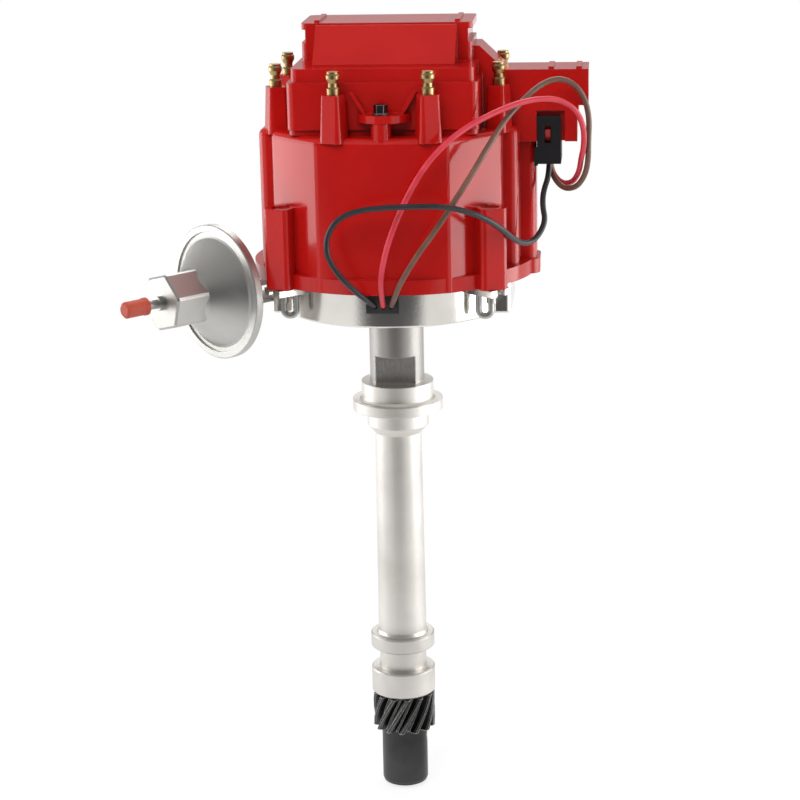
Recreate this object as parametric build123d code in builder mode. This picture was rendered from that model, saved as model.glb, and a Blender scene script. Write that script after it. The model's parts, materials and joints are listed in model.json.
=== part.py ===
from build123d import *
import os
from math import atan2, cos, degrees, hypot, pi, radians, sin, tan

os.makedirs("parts", exist_ok=True)

# Ignition distributor for a V8 engine, with the coil in the cap. Millimetres.
# +Z runs up the shaft. The origin is on the shaft's axis, in the plane of the flange's underside,
# which rests on the intake manifold. The cap's front faces -Y and the terminal hood points to +X.

# Shaft and fits
shaft_r = 6.25
running_gap = 0.04
press_gap = 0.02
slip_gap = 0.3
thrust_gap = 0.1

# Housing: tube, flange and neck, from the gear up
register_r = 16.1
lower_register_h = 13.2
oil_groove_h = 11.0
oil_groove_r = 11.8
upper_register_h = 7.5
register_top_z = -118.0
tube_low_r = 12.2
tube_high_r = 11.5
pilot_r = 15.2
pilot_h = 8.1
pilot_chamfer = 4.2
flange_r = 22.2
flange_h = 5.0
collar_r = 17.7
collar_top_z = 14.1
neck_r = 13.35
neck_flat_y = 9.2
neck_flat_top_z = 28.1
relief_bore_r = 7.0
bushing_r = 8.5
lower_bushing_h = 32.0
upper_bushing_z = 33.0

# Housing: bowl
bowl_z = 53.4
bowl_floor_t = 4.2
bowl_r = 55.5
bowl_wall = 4.5
side_pad_x = 57.5
side_pad_y = 24.0
rim_z = 70.0
lip_h = 2.4
lip_t = 2.0
hub_r = 13.0
hub_shoulder_r = 16.0
hub_shoulder_z = 60.0
hub_top_z = 64.0
ear_t = 3.2

# Latches, at the cap's four corners
latch_turn = 40.8
latch_out = 9.23
latch_x = (bowl_r + latch_out) * cos(radians(latch_turn))
latch_y = (bowl_r + latch_out) * sin(radians(latch_turn))
boss_w = 13.0
boss_top_z = 108.4
boss_turn = 20.0
latch_shank_r = 2.3
latch_head_r = 4.0
latch_head_h = 3.4
hook_wire_r = 1.5
hook_bend_r = 2.6
hook_low_z = 55.0
hook_gap = 0.4
latch_spring_h = 5.4

# Cap
cap_top_z = 142.5
facet_corner = (30.5, 54.0)
side_corner = (54.0, 31.0)
facet_bow = 3.5
cap_pad_x = 61.5
column_x = 69.3
column_y = 10.0
skirt_rx = 68.0
skirt_ry = 60.0
skirt_h = 7.0
cavity_r = 50.5
cavity_top_z = 118.0
shoulder_r = 3.4
well_x = 64.0
well_y = 56.0
well_floor_z = 126.5
tower_count = 8
tower_circle_r = 56.7
tower_top_z = 162.2
tower_base_w = 11.35
tower_top_w = 9.0
terminal_pin_r = 1.7
terminal_collar_r = 2.9
terminal_neck_r = 2.2
terminal_head_r = 3.15
terminal_h = 10.6
electrode_z = 103.8
electrode_h = 3.4
electrode_w = 5.0
electrode_tip_r = 48.6
shelf_x = 88.8
hood_y = 13.2
shelf_z = 134.0

# Brush
brush_r = 2.5
brush_boss_z = 110.0
latch_head_z = boss_top_z - latch_head_h - 1.0
latch_seat_z = latch_head_z - latch_spring_h

# Coil cover
cover_z = 145.0
tier_low_x = 44.4
tier_low_y = 46.4
tier_low_top_z = 166.7
tier_step = 2.0
tier_high_top_z = 173.0
crown_x = 40.2
crown_y = 18.6
cover_top_z = 191.0
crown_lip_h = 3.0
crown_notch_z = 182.0
crown_notch = 2.0
bulge_x = 33.0
bulge_foot_y = 36.2
cover_wall = 2.6
hood_x = 94.0
hood_top_z = 168.0
hood_notch_z = 151.0
hood_room_y = 9.0
lug_r = 12.8
lug_y = 44.6
lug_z = 149.3
lug_t = 3.6
cover_screw_y = 52.4
post_r = 4.7

# Coil
core_x = 77.0
core_y = 80.0
core_z = 147.0
core_t = 16.0
core_limb = 9.0
winding_r = 27.0
winding_x = 56.0
coil_screw_x = 34.0
coil_screw_y = 35.5

# Pickup and centrifugal advance
pickup_r = 29.0
pickup_plate_z = 60.1
pickup_plate_t = 1.5
magnet_h = 5.0
pole_tooth_r = 19.0
pole_top_z = 75.0
tooth_count = 8
core_tooth_r = 18.5
tooth_w = 4.0
weight_base_z = 78.0
weight_base_t = 2.5
weight_t = 4.0
pivot_x = 20.0
pivot_y = 10.0
pivot_r = 2.5
cam_z = 81.0
cam_t = 2.5
advance_post_top_z = 88.8
rotor_z = 90.0
rotor_blade_z = 105.0
rotor_tip_r = 47.9
contact_top_z = 108.3
advance_turn = 180.0 / tower_count

# Vacuum advance can: its axis lies level and passes the shaft at rod_offset
can_turn = 227.5
rod_offset = 39.0
can_gap = 12.5
can_reach = skirt_rx + can_gap
can_z = 65.8
can_r = 32.3
can_rim_t = 1.4
can_cone_r = 26.0
can_neck_r = 12.4
can_neck_s = 14.0
hex_across = 25.0
hex_end_s = 32.3
nipple_r = 2.15
nipple_bead_r = 3.4
nipple_end_s = 50.0
nipple_cap_r = 3.9
nipple_cap_s = 41.0
nipple_cap_end_s = 53.5
can_back_s = -12.0
can_back_r = 14.0
diaphragm_t = 0.8
rod_w = 6.0
rod_t = 1.6
bracket_t = 2.0
bracket_w = 15.4

# Drive gear
gear_teeth = 13
gear_r = 15.75
gear_root_r = 12.2
gear_h = 18.4
gear_lean = 31.0
gear_hub_r = 11.6
gear_end_z = -200.0
washer_t = 1.0
end_play = 0.05
gear_pin_r = 2.4
gear_pin_drop = 6.5
oil_slot_w = 4.6
oil_slot_h = 9.0

# Leads
lead_r = 1.35
grommet_x = 7.7
grommet_low_z = 60.9
plug_x = 75.4
plug_w = 11.2
plug_z = 123.3
plug_low_y = 10.0
plug_top_x = 8.6
plug_top_y = 9.2
plug_top_h = 6.8
lock_y = 10.6
lock_t = 2.8
lock_top_z = 146.1
lock_tab_x = 74.9
lead_pitch = 5.0
lead_end_z = 126.3
blade_t = 0.8
blade_w = 3.0
blade_top_z = 150.0

register_low_z = register_top_z - upper_register_h - oil_groove_h - lower_register_h
cavity_skirt_z = rim_z + skirt_h
can_dir = Vector(cos(radians(can_turn)), sin(radians(can_turn)), 0)
can_side = Vector(sin(radians(can_turn)), -cos(radians(can_turn)), 0)
advance_plane = Plane.XY.rotated((0, 0, advance_turn))


def finish(part, name):
    """Label a finished piece and write it to its own file."""
    part.label = name
    export_step(part, f"parts/{name}.step")


def can_point(reach, z=can_z):
    """A point on the can's axis, at a distance along it from the foot of the shaft's perpendicular."""
    return can_dir * reach + can_side * rod_offset + Vector(0, 0, z)


def can_face(s):
    """A plane across the can's axis, at s from the rim, looking outwards, with its y upwards."""
    return Plane(origin=can_point(can_reach + s), x_dir=(-can_dir.Y, can_dir.X, 0), z_dir=can_dir)


# The can's profiles are drawn with x as the radius and y as the distance outwards from the rim.
can_profile = Plane(origin=can_point(can_reach), x_dir=(0, 0, 1), z_dir=(-can_dir.Y, can_dir.X, 0))
can_axis = Axis(can_point(can_reach), can_dir)


def corner_locations():
    """The four latch places, one in each corner."""
    return [(sx * latch_x, sy * latch_y) for sx in (-1, 1) for sy in (-1, 1)]


def turned_square(x, y):
    """The turn of a latch boss about its own axis, the same way round in opposite corners."""
    return Location((x, y, 0), (0, 0, -boss_turn if x * y > 0 else boss_turn))


# Housing
bowl_inner_r = bowl_r - bowl_wall
bracket_screw_s = (bowl_r - 39.5, bowl_r - 29.0)
bracket_screw_places = [can_point(s, bowl_z) for s in bracket_screw_s]
module_turn = -12.0
module_plane = Plane.XY.rotated((0, 0, module_turn))
module_w = 46.0
module_r = (bowl_inner_r + pickup_r) / 2 - 1.5
module_screw_y = module_w / 2 - 7.0
floor_holes = [(p.X, p.Y) for p in bracket_screw_places]
for side in (-1, 1):
    spot = module_plane.from_local_coords((module_r, side * module_screw_y, 0))
    floor_holes.append((spot.X, spot.Y))
clip_turn = -128.0
clip_plane = Plane.XY.rotated((0, 0, clip_turn))
clip_reach = bowl_inner_r - 10.0
clip_screw_y = -18.5
clip_screw = clip_plane.from_local_coords((clip_reach, clip_screw_y, 0))
floor_holes.append((clip_screw.X, clip_screw.Y))
screw_r = 2.0
with BuildPart() as housing:
    with BuildSketch(Plane.XZ) as stem:
        with BuildLine():
            Polyline(
                (0, register_low_z),
                (register_r - 0.6, register_low_z),
                (register_r, register_low_z + 0.6),
                (register_r, register_low_z + lower_register_h - 0.6),
                (register_r - 0.6, register_low_z + lower_register_h),
                (oil_groove_r, register_low_z + lower_register_h),
                (oil_groove_r, register_top_z - upper_register_h),
                (register_r - 0.6, register_top_z - upper_register_h),
                (register_r, register_top_z - upper_register_h + 0.6),
                (register_r, register_top_z - 0.6),
                (register_r - 0.6, register_top_z),
                (tube_low_r + 0.8, register_top_z),
                (tube_low_r, register_top_z + 1.6),
                (tube_high_r, -pilot_h - pilot_chamfer),
                (pilot_r, -pilot_h),
                (pilot_r, 0),
                (flange_r, 0),
                (flange_r, flange_h),
                (collar_r + 1.0, flange_h),
                (collar_r, flange_h + 1.2),
                (collar_r, collar_top_z),
                (neck_r, collar_top_z),
                (neck_r, bowl_z + bowl_floor_t),
                (0, bowl_z + bowl_floor_t),
                close=True,
            )
        make_face()
    revolve(axis=Axis.Z)
    # Milled flat on the front of the neck
    with BuildSketch(Plane.XY.offset(collar_top_z)):
        with Locations((0, -neck_flat_y - neck_r)):
            Rectangle(4 * neck_r, 2 * neck_r)
    extrude(amount=neck_flat_top_z - collar_top_z, mode=Mode.SUBTRACT)
    # Bowl with flat side pads
    with BuildSketch(Plane.XY.offset(bowl_z)) as bowl_outline:
        Circle(bowl_r)
        with BuildSketch(mode=Mode.PRIVATE) as pads:
            Rectangle(2 * side_pad_x, 2 * side_pad_y)
            fillet(pads.vertices(), 2.5)
        add(pads.sketch)
    extrude(amount=rim_z - bowl_z)
    chamfer(housing.faces().filter_by(Axis.Z).filter_by(lambda f: abs(f.center().Z - bowl_z) < 0.01).sort_by(
        SortBy.AREA)[-1].outer_wire().edges(), 0.8)
    # Ears under the cap's bosses, which the hooks catch
    with BuildSketch(Plane.XY.offset(rim_z - ear_t)):
        for x, y in corner_locations():
            with Locations(Location((x, y, 0), (0, 0, degrees(atan2(y, x))))):
                Rectangle(boss_w, boss_w)
            with Locations(Location((0, 0, 0), (0, 0, degrees(atan2(y, x))))):
                with Locations((hypot(x, y) - boss_w, 0)):
                    Rectangle(boss_w, boss_w)
    extrude(amount=ear_t)
    with BuildSketch(Plane.XY.offset(rim_z - ear_t)):
        for x, y in corner_locations():
            with Locations(Location((x, y, 0), (0, 0, degrees(atan2(y, x))))):
                with Locations((boss_w / 2, 0)):
                    SlotOverall(boss_w + 2 * (latch_shank_r + slip_gap), 2 * (latch_shank_r + slip_gap))
    extrude(amount=ear_t, mode=Mode.SUBTRACT)
    # Bowl's inside, with the hub standing in it
    with BuildSketch(Plane.XY.offset(bowl_z + bowl_floor_t)):
        Circle(bowl_inner_r)
        Circle(hub_shoulder_r, mode=Mode.SUBTRACT)
    extrude(amount=rim_z, mode=Mode.SUBTRACT)
    with BuildSketch(Plane.XY.offset(hub_shoulder_z)):
        Circle(hub_shoulder_r + 1)
    extrude(amount=rim_z, mode=Mode.SUBTRACT)
    with BuildSketch(Plane.XY.offset(hub_shoulder_z)):
        Circle(hub_r)
    extrude(amount=hub_top_z - hub_shoulder_z)
    # Lip that centres the cap
    with BuildSketch(Plane.XY.offset(rim_z)):
        Circle(bowl_inner_r + lip_t)
        Circle(bowl_inner_r, mode=Mode.SUBTRACT)
    extrude(amount=lip_h)
    # Shaft passage and bushing seats
    with BuildSketch(Plane.XY.offset(register_low_z)):
        Circle(relief_bore_r)
    extrude(amount=rim_z - register_low_z, mode=Mode.SUBTRACT)
    with BuildSketch(Plane.XY.offset(register_low_z)):
        Circle(bushing_r)
    extrude(amount=lower_bushing_h, mode=Mode.SUBTRACT)
    with BuildSketch(Plane.XY.offset(upper_bushing_z)):
        Circle(bushing_r)
    extrude(amount=rim_z - upper_bushing_z, mode=Mode.SUBTRACT)
    # Notch for the grommet, slot for the can's bracket, holes in the floor
    with BuildSketch(Plane.XY.offset(grommet_low_z + 1.0)):
        with Locations((-0.7, -bowl_r + 1)):
            Rectangle(2 * grommet_x - 2.0, 4 * bowl_wall)
    extrude(amount=rim_z, mode=Mode.SUBTRACT)
    with BuildSketch(Plane(can_point(0, bowl_z + bowl_floor_t), x_dir=can_dir, z_dir=(0, 0, 1))):
        with Locations((bowl_r - 11.5, 0)):
            Rectangle(bowl_r - 3.5, bracket_w + 2 * slip_gap)
    extrude(amount=rim_z, mode=Mode.SUBTRACT)
    with BuildSketch(Plane.XY.offset(bowl_z)):
        with Locations(*floor_holes):
            Circle(screw_r)
    extrude(amount=bowl_floor_t, mode=Mode.SUBTRACT)
finish(housing.part, "housing")

# Bushings, pressed into the housing
with BuildPart() as lower_bushing:
    with BuildSketch(Plane.XY.offset(register_low_z)):
        Circle(bushing_r - press_gap)
        Circle(shaft_r + running_gap, mode=Mode.SUBTRACT)
    extrude(amount=lower_bushing_h)
finish(lower_bushing.part, "lower_bushing")

with BuildPart() as upper_bushing:
    with BuildSketch(Plane.XY.offset(upper_bushing_z)):
        Circle(bushing_r - press_gap)
        Circle(shaft_r + running_gap, mode=Mode.SUBTRACT)
    extrude(amount=hub_top_z - upper_bushing_z)
finish(upper_bushing.part, "upper_bushing")

# Main shaft: plain below, thrust collar over the upper bushing, slot for the oil pump's drive at the foot
collar_z = hub_top_z + thrust_gap
thrust_collar_h = 1.6
shaft_end_z = gear_end_z + 1.2
shaft_top_z = cam_z + cam_t + 1.0
gear_top_z = register_low_z - end_play - washer_t
gear_pin_z = gear_top_z - gear_h - gear_pin_drop
with BuildPart() as main_shaft:
    with BuildSketch(Plane.XY.offset(shaft_end_z)):
        Circle(shaft_r)
    extrude(amount=shaft_top_z - shaft_end_z)
    with BuildSketch(Plane.XY.offset(collar_z)):
        Circle(bushing_r - 0.4)
    extrude(amount=thrust_collar_h)
    with BuildSketch(Plane.XY.offset(shaft_end_z)):
        Rectangle(oil_slot_w, 4 * shaft_r)
    extrude(amount=oil_slot_h, mode=Mode.SUBTRACT)
    with BuildSketch(Plane.YZ.offset(-gear_hub_r)):
        with Locations((0, gear_pin_z)):
            Circle(gear_pin_r)
    extrude(amount=2 * gear_hub_r, mode=Mode.SUBTRACT)
    chamfer(main_shaft.edges().sort_by(Axis.Z)[-1], 0.8)
finish(main_shaft.part, "main_shaft")

# Thrust washer between the housing's foot and the gear
with BuildPart() as thrust_washer:
    with BuildSketch(Plane.XY.offset(gear_top_z)):
        Circle(gear_hub_r)
        Circle(shaft_r + press_gap, mode=Mode.SUBTRACT)
    extrude(amount=washer_t)
finish(thrust_washer.part, "thrust_washer")

# Drive gear: thirteen leaning teeth on a long hub
tooth_turn = degrees(gear_h * tan(radians(gear_lean)) / gear_r)
tooth_levels = 5
tooth_foot_w = 5.0
tooth_tip_w = 2.4
with BuildPart() as gear_tooth:
    for level in range(tooth_levels):
        share = level / (tooth_levels - 1)
        turned = Plane.XY.rotated((0, 0, -90 + tooth_turn * share))
        with BuildSketch(turned.offset(gear_top_z - gear_h + gear_h * share)):
            with BuildLine():
                Polyline(
                    (gear_root_r - 0.8, -tooth_foot_w / 2),
                    (gear_r - 0.7, -tooth_tip_w / 2 - 0.3),
                    (gear_r, -tooth_tip_w / 2 + 0.5),
                    (gear_r, tooth_tip_w / 2 - 0.5),
                    (gear_r - 0.7, tooth_tip_w / 2 + 0.3),
                    (gear_root_r - 0.8, tooth_foot_w / 2),
                    close=True,
                )
            make_face()
    loft(ruled=True)

with BuildPart() as drive_gear:
    with BuildSketch(Plane.XZ):
        with BuildLine():
            Polyline(
                (0, gear_end_z),
                (gear_hub_r - 1.8, gear_end_z),
                (gear_hub_r - 0.5, gear_end_z + 0.7),
                (gear_hub_r, gear_end_z + 2.2),
                (gear_hub_r, gear_top_z - gear_h),
                (gear_root_r, gear_top_z - gear_h),
                (gear_root_r, gear_top_z),
                (0, gear_top_z),
                close=True,
            )
        make_face()
    revolve(axis=Axis.Z)
    with PolarLocations(0, gear_teeth):
        add(gear_tooth.part)
    with BuildSketch(Plane.XY.offset(gear_end_z)):
        Circle(shaft_r + press_gap)
    extrude(amount=gear_top_z - gear_end_z, mode=Mode.SUBTRACT)
    with BuildSketch(Plane.YZ.offset(-gear_r)):
        with Locations((0, gear_pin_z)):
            Circle(gear_pin_r)
    extrude(amount=2 * gear_r, mode=Mode.SUBTRACT)
finish(drive_gear.part, "drive_gear")

with BuildPart() as gear_pin:
    with BuildSketch(Plane.YZ.offset(-gear_hub_r + 0.4)):
        with Locations((0, gear_pin_z)):
            Circle(gear_pin_r - press_gap)
            Circle(gear_pin_r - 1.0, mode=Mode.SUBTRACT)
    extrude(amount=2 * gear_hub_r - 0.8)
finish(gear_pin.part, "gear_pin")

# Magnetic pickup, which turns on the housing's hub when the vacuum can pulls its arm
arm_turn = can_turn - 90
arm_plane = Plane.XY.rotated((0, 0, arm_turn))
arm_w = 9.0
link_pin_r = 1.5
magnet_z = pickup_plate_z + pickup_plate_t
pole_z = magnet_z + magnet_h
pole_plate_t = 1.6
with BuildPart() as pickup_plate:
    with BuildSketch(Plane.XY.offset(pickup_plate_z)):
        Circle(pickup_r)
    extrude(amount=pickup_plate_t)
    with BuildSketch(arm_plane.offset(pickup_plate_z)):
        with Locations((rod_offset / 2 + arm_w / 4, 0)):
            SlotOverall(rod_offset + arm_w / 2, arm_w)
    extrude(amount=pickup_plate_t)
    with BuildSketch(arm_plane.offset(magnet_z)):
        with Locations((rod_offset, 0)):
            Circle(link_pin_r)
    extrude(amount=can_z - magnet_z + 2.4)
    with BuildSketch(Plane.XY.offset(pickup_plate_z)):
        Circle(hub_r + running_gap)
    extrude(amount=pickup_plate_t, mode=Mode.SUBTRACT)
finish(pickup_plate.part, "pickup_plate")

magnet_in_r = 19.6
with BuildPart() as ring_magnet:
    with BuildSketch(Plane.XY.offset(magnet_z)):
        Circle(pickup_r - 1.5)
        Circle(magnet_in_r, mode=Mode.SUBTRACT)
    extrude(amount=magnet_h)
finish(ring_magnet.part, "ring_magnet")

coil_in_r = 15.4
with BuildPart() as pickup_coil:
    with BuildSketch(Plane.XZ):
        with BuildLine():
            Polyline(
                (coil_in_r, magnet_z),
                (magnet_in_r - 0.2, magnet_z),
                (magnet_in_r - 0.2, magnet_z + 0.8),
                (magnet_in_r - 0.9, magnet_z + 0.8),
                (magnet_in_r - 0.9, pole_z - 0.9),
                (magnet_in_r - 0.2, pole_z - 0.9),
                (magnet_in_r - 0.2, pole_z - 0.1),
                (coil_in_r, pole_z - 0.1),
                close=True,
            )
        make_face()
    revolve(axis=Axis.Z)
finish(pickup_coil.part, "pickup_coil")

with BuildPart() as pole_piece:
    with BuildSketch(Plane.XY.offset(pole_z)):
        Circle(pickup_r - 0.5)
        Circle(pole_tooth_r, mode=Mode.SUBTRACT)
    extrude(amount=pole_plate_t)
    with BuildSketch(advance_plane.offset(pole_z)):
        with PolarLocations(pole_tooth_r + 1.4, tooth_count):
            Rectangle(2.4, tooth_w)
    extrude(amount=pole_top_z - pole_z)
finish(pole_piece.part, "pole_piece")

with BuildPart() as pickup_retainer:
    with BuildSketch(Plane.XY.offset(magnet_z + slip_gap)):
        Circle(coil_in_r - slip_gap)
        Circle(hub_r + press_gap, mode=Mode.SUBTRACT)
        with Locations((0, hub_r)):
            Rectangle(6, 6, mode=Mode.SUBTRACT)
    extrude(amount=0.8)
finish(pickup_retainer.part, "pickup_retainer")

# Timer core and weight base: the sleeve that the centrifugal advance turns ahead of the shaft
sleeve_r = 9.5
sleeve_z = collar_z + thrust_collar_h + end_play
core_disc_z = 69.5
with BuildPart() as timer_core:
    with BuildSketch(Plane.XY.offset(sleeve_z)):
        Circle(sleeve_r)
    extrude(amount=weight_base_z - sleeve_z)
    with BuildSketch(advance_plane.offset(core_disc_z)):
        Circle(core_tooth_r - 4.0)
        with PolarLocations(core_tooth_r - 2.5, tooth_count):
            Rectangle(5.0, tooth_w)
    extrude(amount=pole_top_z - core_disc_z)
    with BuildSketch(Plane.XY.offset(sleeve_z)):
        Circle(shaft_r + running_gap)
    extrude(amount=weight_base_z - sleeve_z, mode=Mode.SUBTRACT)
finish(timer_core.part, "timer_core")

weight_plane = advance_plane.offset(weight_base_z)
rotor_leg_y = 25.5
rotor_leg_r = 4.5
rotor_screw_r = 1.6
with BuildPart() as weight_base:
    with BuildSketch(weight_plane):
        Circle(sleeve_r + 8)
        SlotOverall(2 * (rotor_leg_y + rotor_leg_r + 1.0), 2 * rotor_leg_r + 2.0, rotation=90)
        with Locations((pivot_x / 2, pivot_y / 2), (-pivot_x / 2, -pivot_y / 2)):
            SlotOverall(hypot(pivot_x, pivot_y) + 14, 13, rotation=degrees(atan2(pivot_y, pivot_x)))
        Circle(shaft_r + running_gap, mode=Mode.SUBTRACT)
        with Locations((0, rotor_leg_y), (0, -rotor_leg_y)):
            Circle(rotor_screw_r, mode=Mode.SUBTRACT)
    extrude(amount=weight_base_t)
    with BuildSketch(advance_plane.offset(weight_base_z + weight_base_t)):
        with Locations((pivot_x, pivot_y), (-pivot_x, -pivot_y)):
            Circle(pivot_r)
    extrude(amount=advance_post_top_z - weight_base_z - weight_base_t)
finish(weight_base.part, "weight_base")

# Advance cam, pressed on the shaft's top, with a post for each spring
cam_post_y = 12.0
cam_post_r = 1.6
with BuildPart() as advance_cam:
    with BuildSketch(advance_plane.offset(cam_z)):
        SlotOverall(31.0, 16.4, rotation=90)
        Circle(shaft_r + press_gap, mode=Mode.SUBTRACT)
    extrude(amount=cam_t)
    with BuildSketch(advance_plane.offset(cam_z + cam_t)):
        with Locations((0, cam_post_y), (0, -cam_post_y)):
            Circle(cam_post_r)
    extrude(amount=advance_post_top_z - cam_z - cam_t)
finish(advance_cam.part, "advance_cam")

# Centrifugal weights: crescents that pivot at one end, with a toe by the cam
weight_z = weight_base_z + weight_base_t + thrust_gap
for number, turn in ((1, 0), (2, 180)):
    swing_plane = Plane.XY.offset(weight_z).rotated((0, 0, advance_turn + turn))
    with BuildPart() as weight:
        with BuildSketch(swing_plane):
            with BuildLine():
                Polyline(
                    (pivot_x - 5.0, pivot_y + 3.5),
                    (pivot_x + 2.5, pivot_y + 5.0),
                    (pivot_x + 6.5, pivot_y),
                )
                ThreePointArc((pivot_x + 6.5, pivot_y), (28.4, -5.0), (19.0, -21.5))
                Polyline((19.0, -21.5), (12.5, -17.0), (13.5, 0.0), (8.6, 3.0), (8.6, 7.5), (15.0, 13.5))
            make_face()
            with Locations((pivot_x, pivot_y)):
                Circle(pivot_r + 0.05, mode=Mode.SUBTRACT)
        extrude(amount=weight_t)
    finish(weight.part, f"advance_weight_{number}")

# Advance springs, drawn as close-wound sleeves between the posts
spring_z = weight_z + weight_t + 2.3
spring_r = 2.0
with BuildPart() as advance_springs:
    for turn in (0, 180):
        spot = Plane.XY.rotated((0, 0, advance_turn + turn))
        start = spot.from_local_coords((cam_post_r + 0.3, cam_post_y, spring_z))
        end = spot.from_local_coords((pivot_x - pivot_r - 0.3, pivot_y, spring_z))
        run = end - start
        with BuildSketch(Plane(origin=start, z_dir=run)):
            Circle(spring_r)
            Circle(spring_r - 0.6, mode=Mode.SUBTRACT)
        extrude(amount=run.length)
finish(advance_springs.part, "advance_springs")

# Rotor: a moulded disc on two legs, with a raised arm under the brass blade
rotor_disc_r = 34.0
rotor_disc_t = 3.0
arm_half_w = 6.5
with BuildPart() as rotor:
    with BuildSketch(advance_plane.offset(rotor_z)):
        Circle(rotor_disc_r)
    extrude(amount=rotor_disc_t)
    with BuildSketch(advance_plane.offset(weight_base_z + weight_base_t)):
        with Locations((0, rotor_leg_y), (0, -rotor_leg_y)):
            Circle(rotor_leg_r)
    extrude(amount=rotor_z - weight_base_z - weight_base_t)
    with BuildSketch(advance_plane.offset(rotor_z + rotor_disc_t)):
        Circle(15.0)
        with Locations((rotor_tip_r / 2 - 4.0, 0)):
            Rectangle(rotor_tip_r - 8.0, 2 * arm_half_w)
    extrude(amount=rotor_blade_z - rotor_z - rotor_disc_t, taper=2)
    fillet(rotor.edges().group_by(Axis.Z)[-1], 0.8)
    with BuildSketch(advance_plane.offset(weight_base_z + weight_base_t)):
        with Locations((0, rotor_leg_y), (0, -rotor_leg_y)):
            Circle(rotor_screw_r)
    extrude(amount=rotor_z, mode=Mode.SUBTRACT)
    with BuildSketch(Plane.XY.offset(rotor_z)):
        Circle(9.0)
    extrude(amount=7.0, mode=Mode.SUBTRACT)
finish(rotor.part, "rotor")

with BuildPart() as rotor_screws:
    with BuildSketch(advance_plane.offset(weight_base_z)):
        with Locations((0, rotor_leg_y), (0, -rotor_leg_y)):
            Circle(rotor_screw_r - press_gap)
    extrude(amount=rotor_z + rotor_disc_t - weight_base_z)
    with BuildSketch(advance_plane.offset(rotor_z + rotor_disc_t)):
        with Locations((0, rotor_leg_y), (0, -rotor_leg_y)):
            Circle(3.2)
    extrude(amount=2.4)
    with BuildSketch(advance_plane.offset(rotor_z + rotor_disc_t + 1.4)):
        with Locations((0, rotor_leg_y), (0, -rotor_leg_y)):
            Rectangle(0.9, 8)
    extrude(amount=1.5, mode=Mode.SUBTRACT)
finish(rotor_screws.part, "rotor_screws")

rotor_blade_t = 1.0
with BuildPart() as rotor_contact:
    with BuildSketch(advance_plane.offset(rotor_blade_z)):
        with Locations(((rotor_tip_r - 6.0) / 2, 0)):
            Rectangle(rotor_tip_r + 6.0, 8.0)
    extrude(amount=rotor_blade_t)
    with BuildSketch(advance_plane.offset(rotor_blade_z + rotor_blade_t)):
        Circle(4.4)
    extrude(amount=contact_top_z - rotor_blade_z - rotor_blade_t, taper=20)
finish(rotor_contact.part, "rotor_contact")

# Tower terminals: pin, inner electrode, and a brass head that the plug lead's clip snaps over
head_z = tower_top_z
terminal_top_z = head_z + terminal_h
with BuildPart() as terminal:
    with BuildSketch(Plane.XZ):
        with BuildLine():
            Polyline(
                (0, electrode_z),
                (terminal_pin_r, electrode_z),
                (terminal_pin_r, head_z),
                (terminal_collar_r, head_z),
                (terminal_collar_r, head_z + 2.9),
                (terminal_neck_r, head_z + 3.6),
                (terminal_neck_r, head_z + 5.4),
                (terminal_head_r, head_z + 7.4),
                (terminal_head_r, head_z + 9.0),
                (terminal_head_r - 0.5, terminal_top_z - 0.9),
                (terminal_head_r - 0.5, terminal_top_z),
                (0, terminal_top_z),
                close=True,
            )
        make_face()
    revolve(axis=Axis.Z)
    with BuildSketch(Plane.XY.offset(electrode_z)):
        with Locations(((electrode_tip_r - tower_circle_r) / 2, 0)):
            Rectangle(tower_circle_r - electrode_tip_r, electrode_w)
    extrude(amount=electrode_h)

with BuildPart() as tower_terminals:
    with PolarLocations(tower_circle_r, tower_count, start_angle=180.0 / tower_count):
        add(terminal.part)
finish(tower_terminals.part, "tower_terminals")

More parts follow.
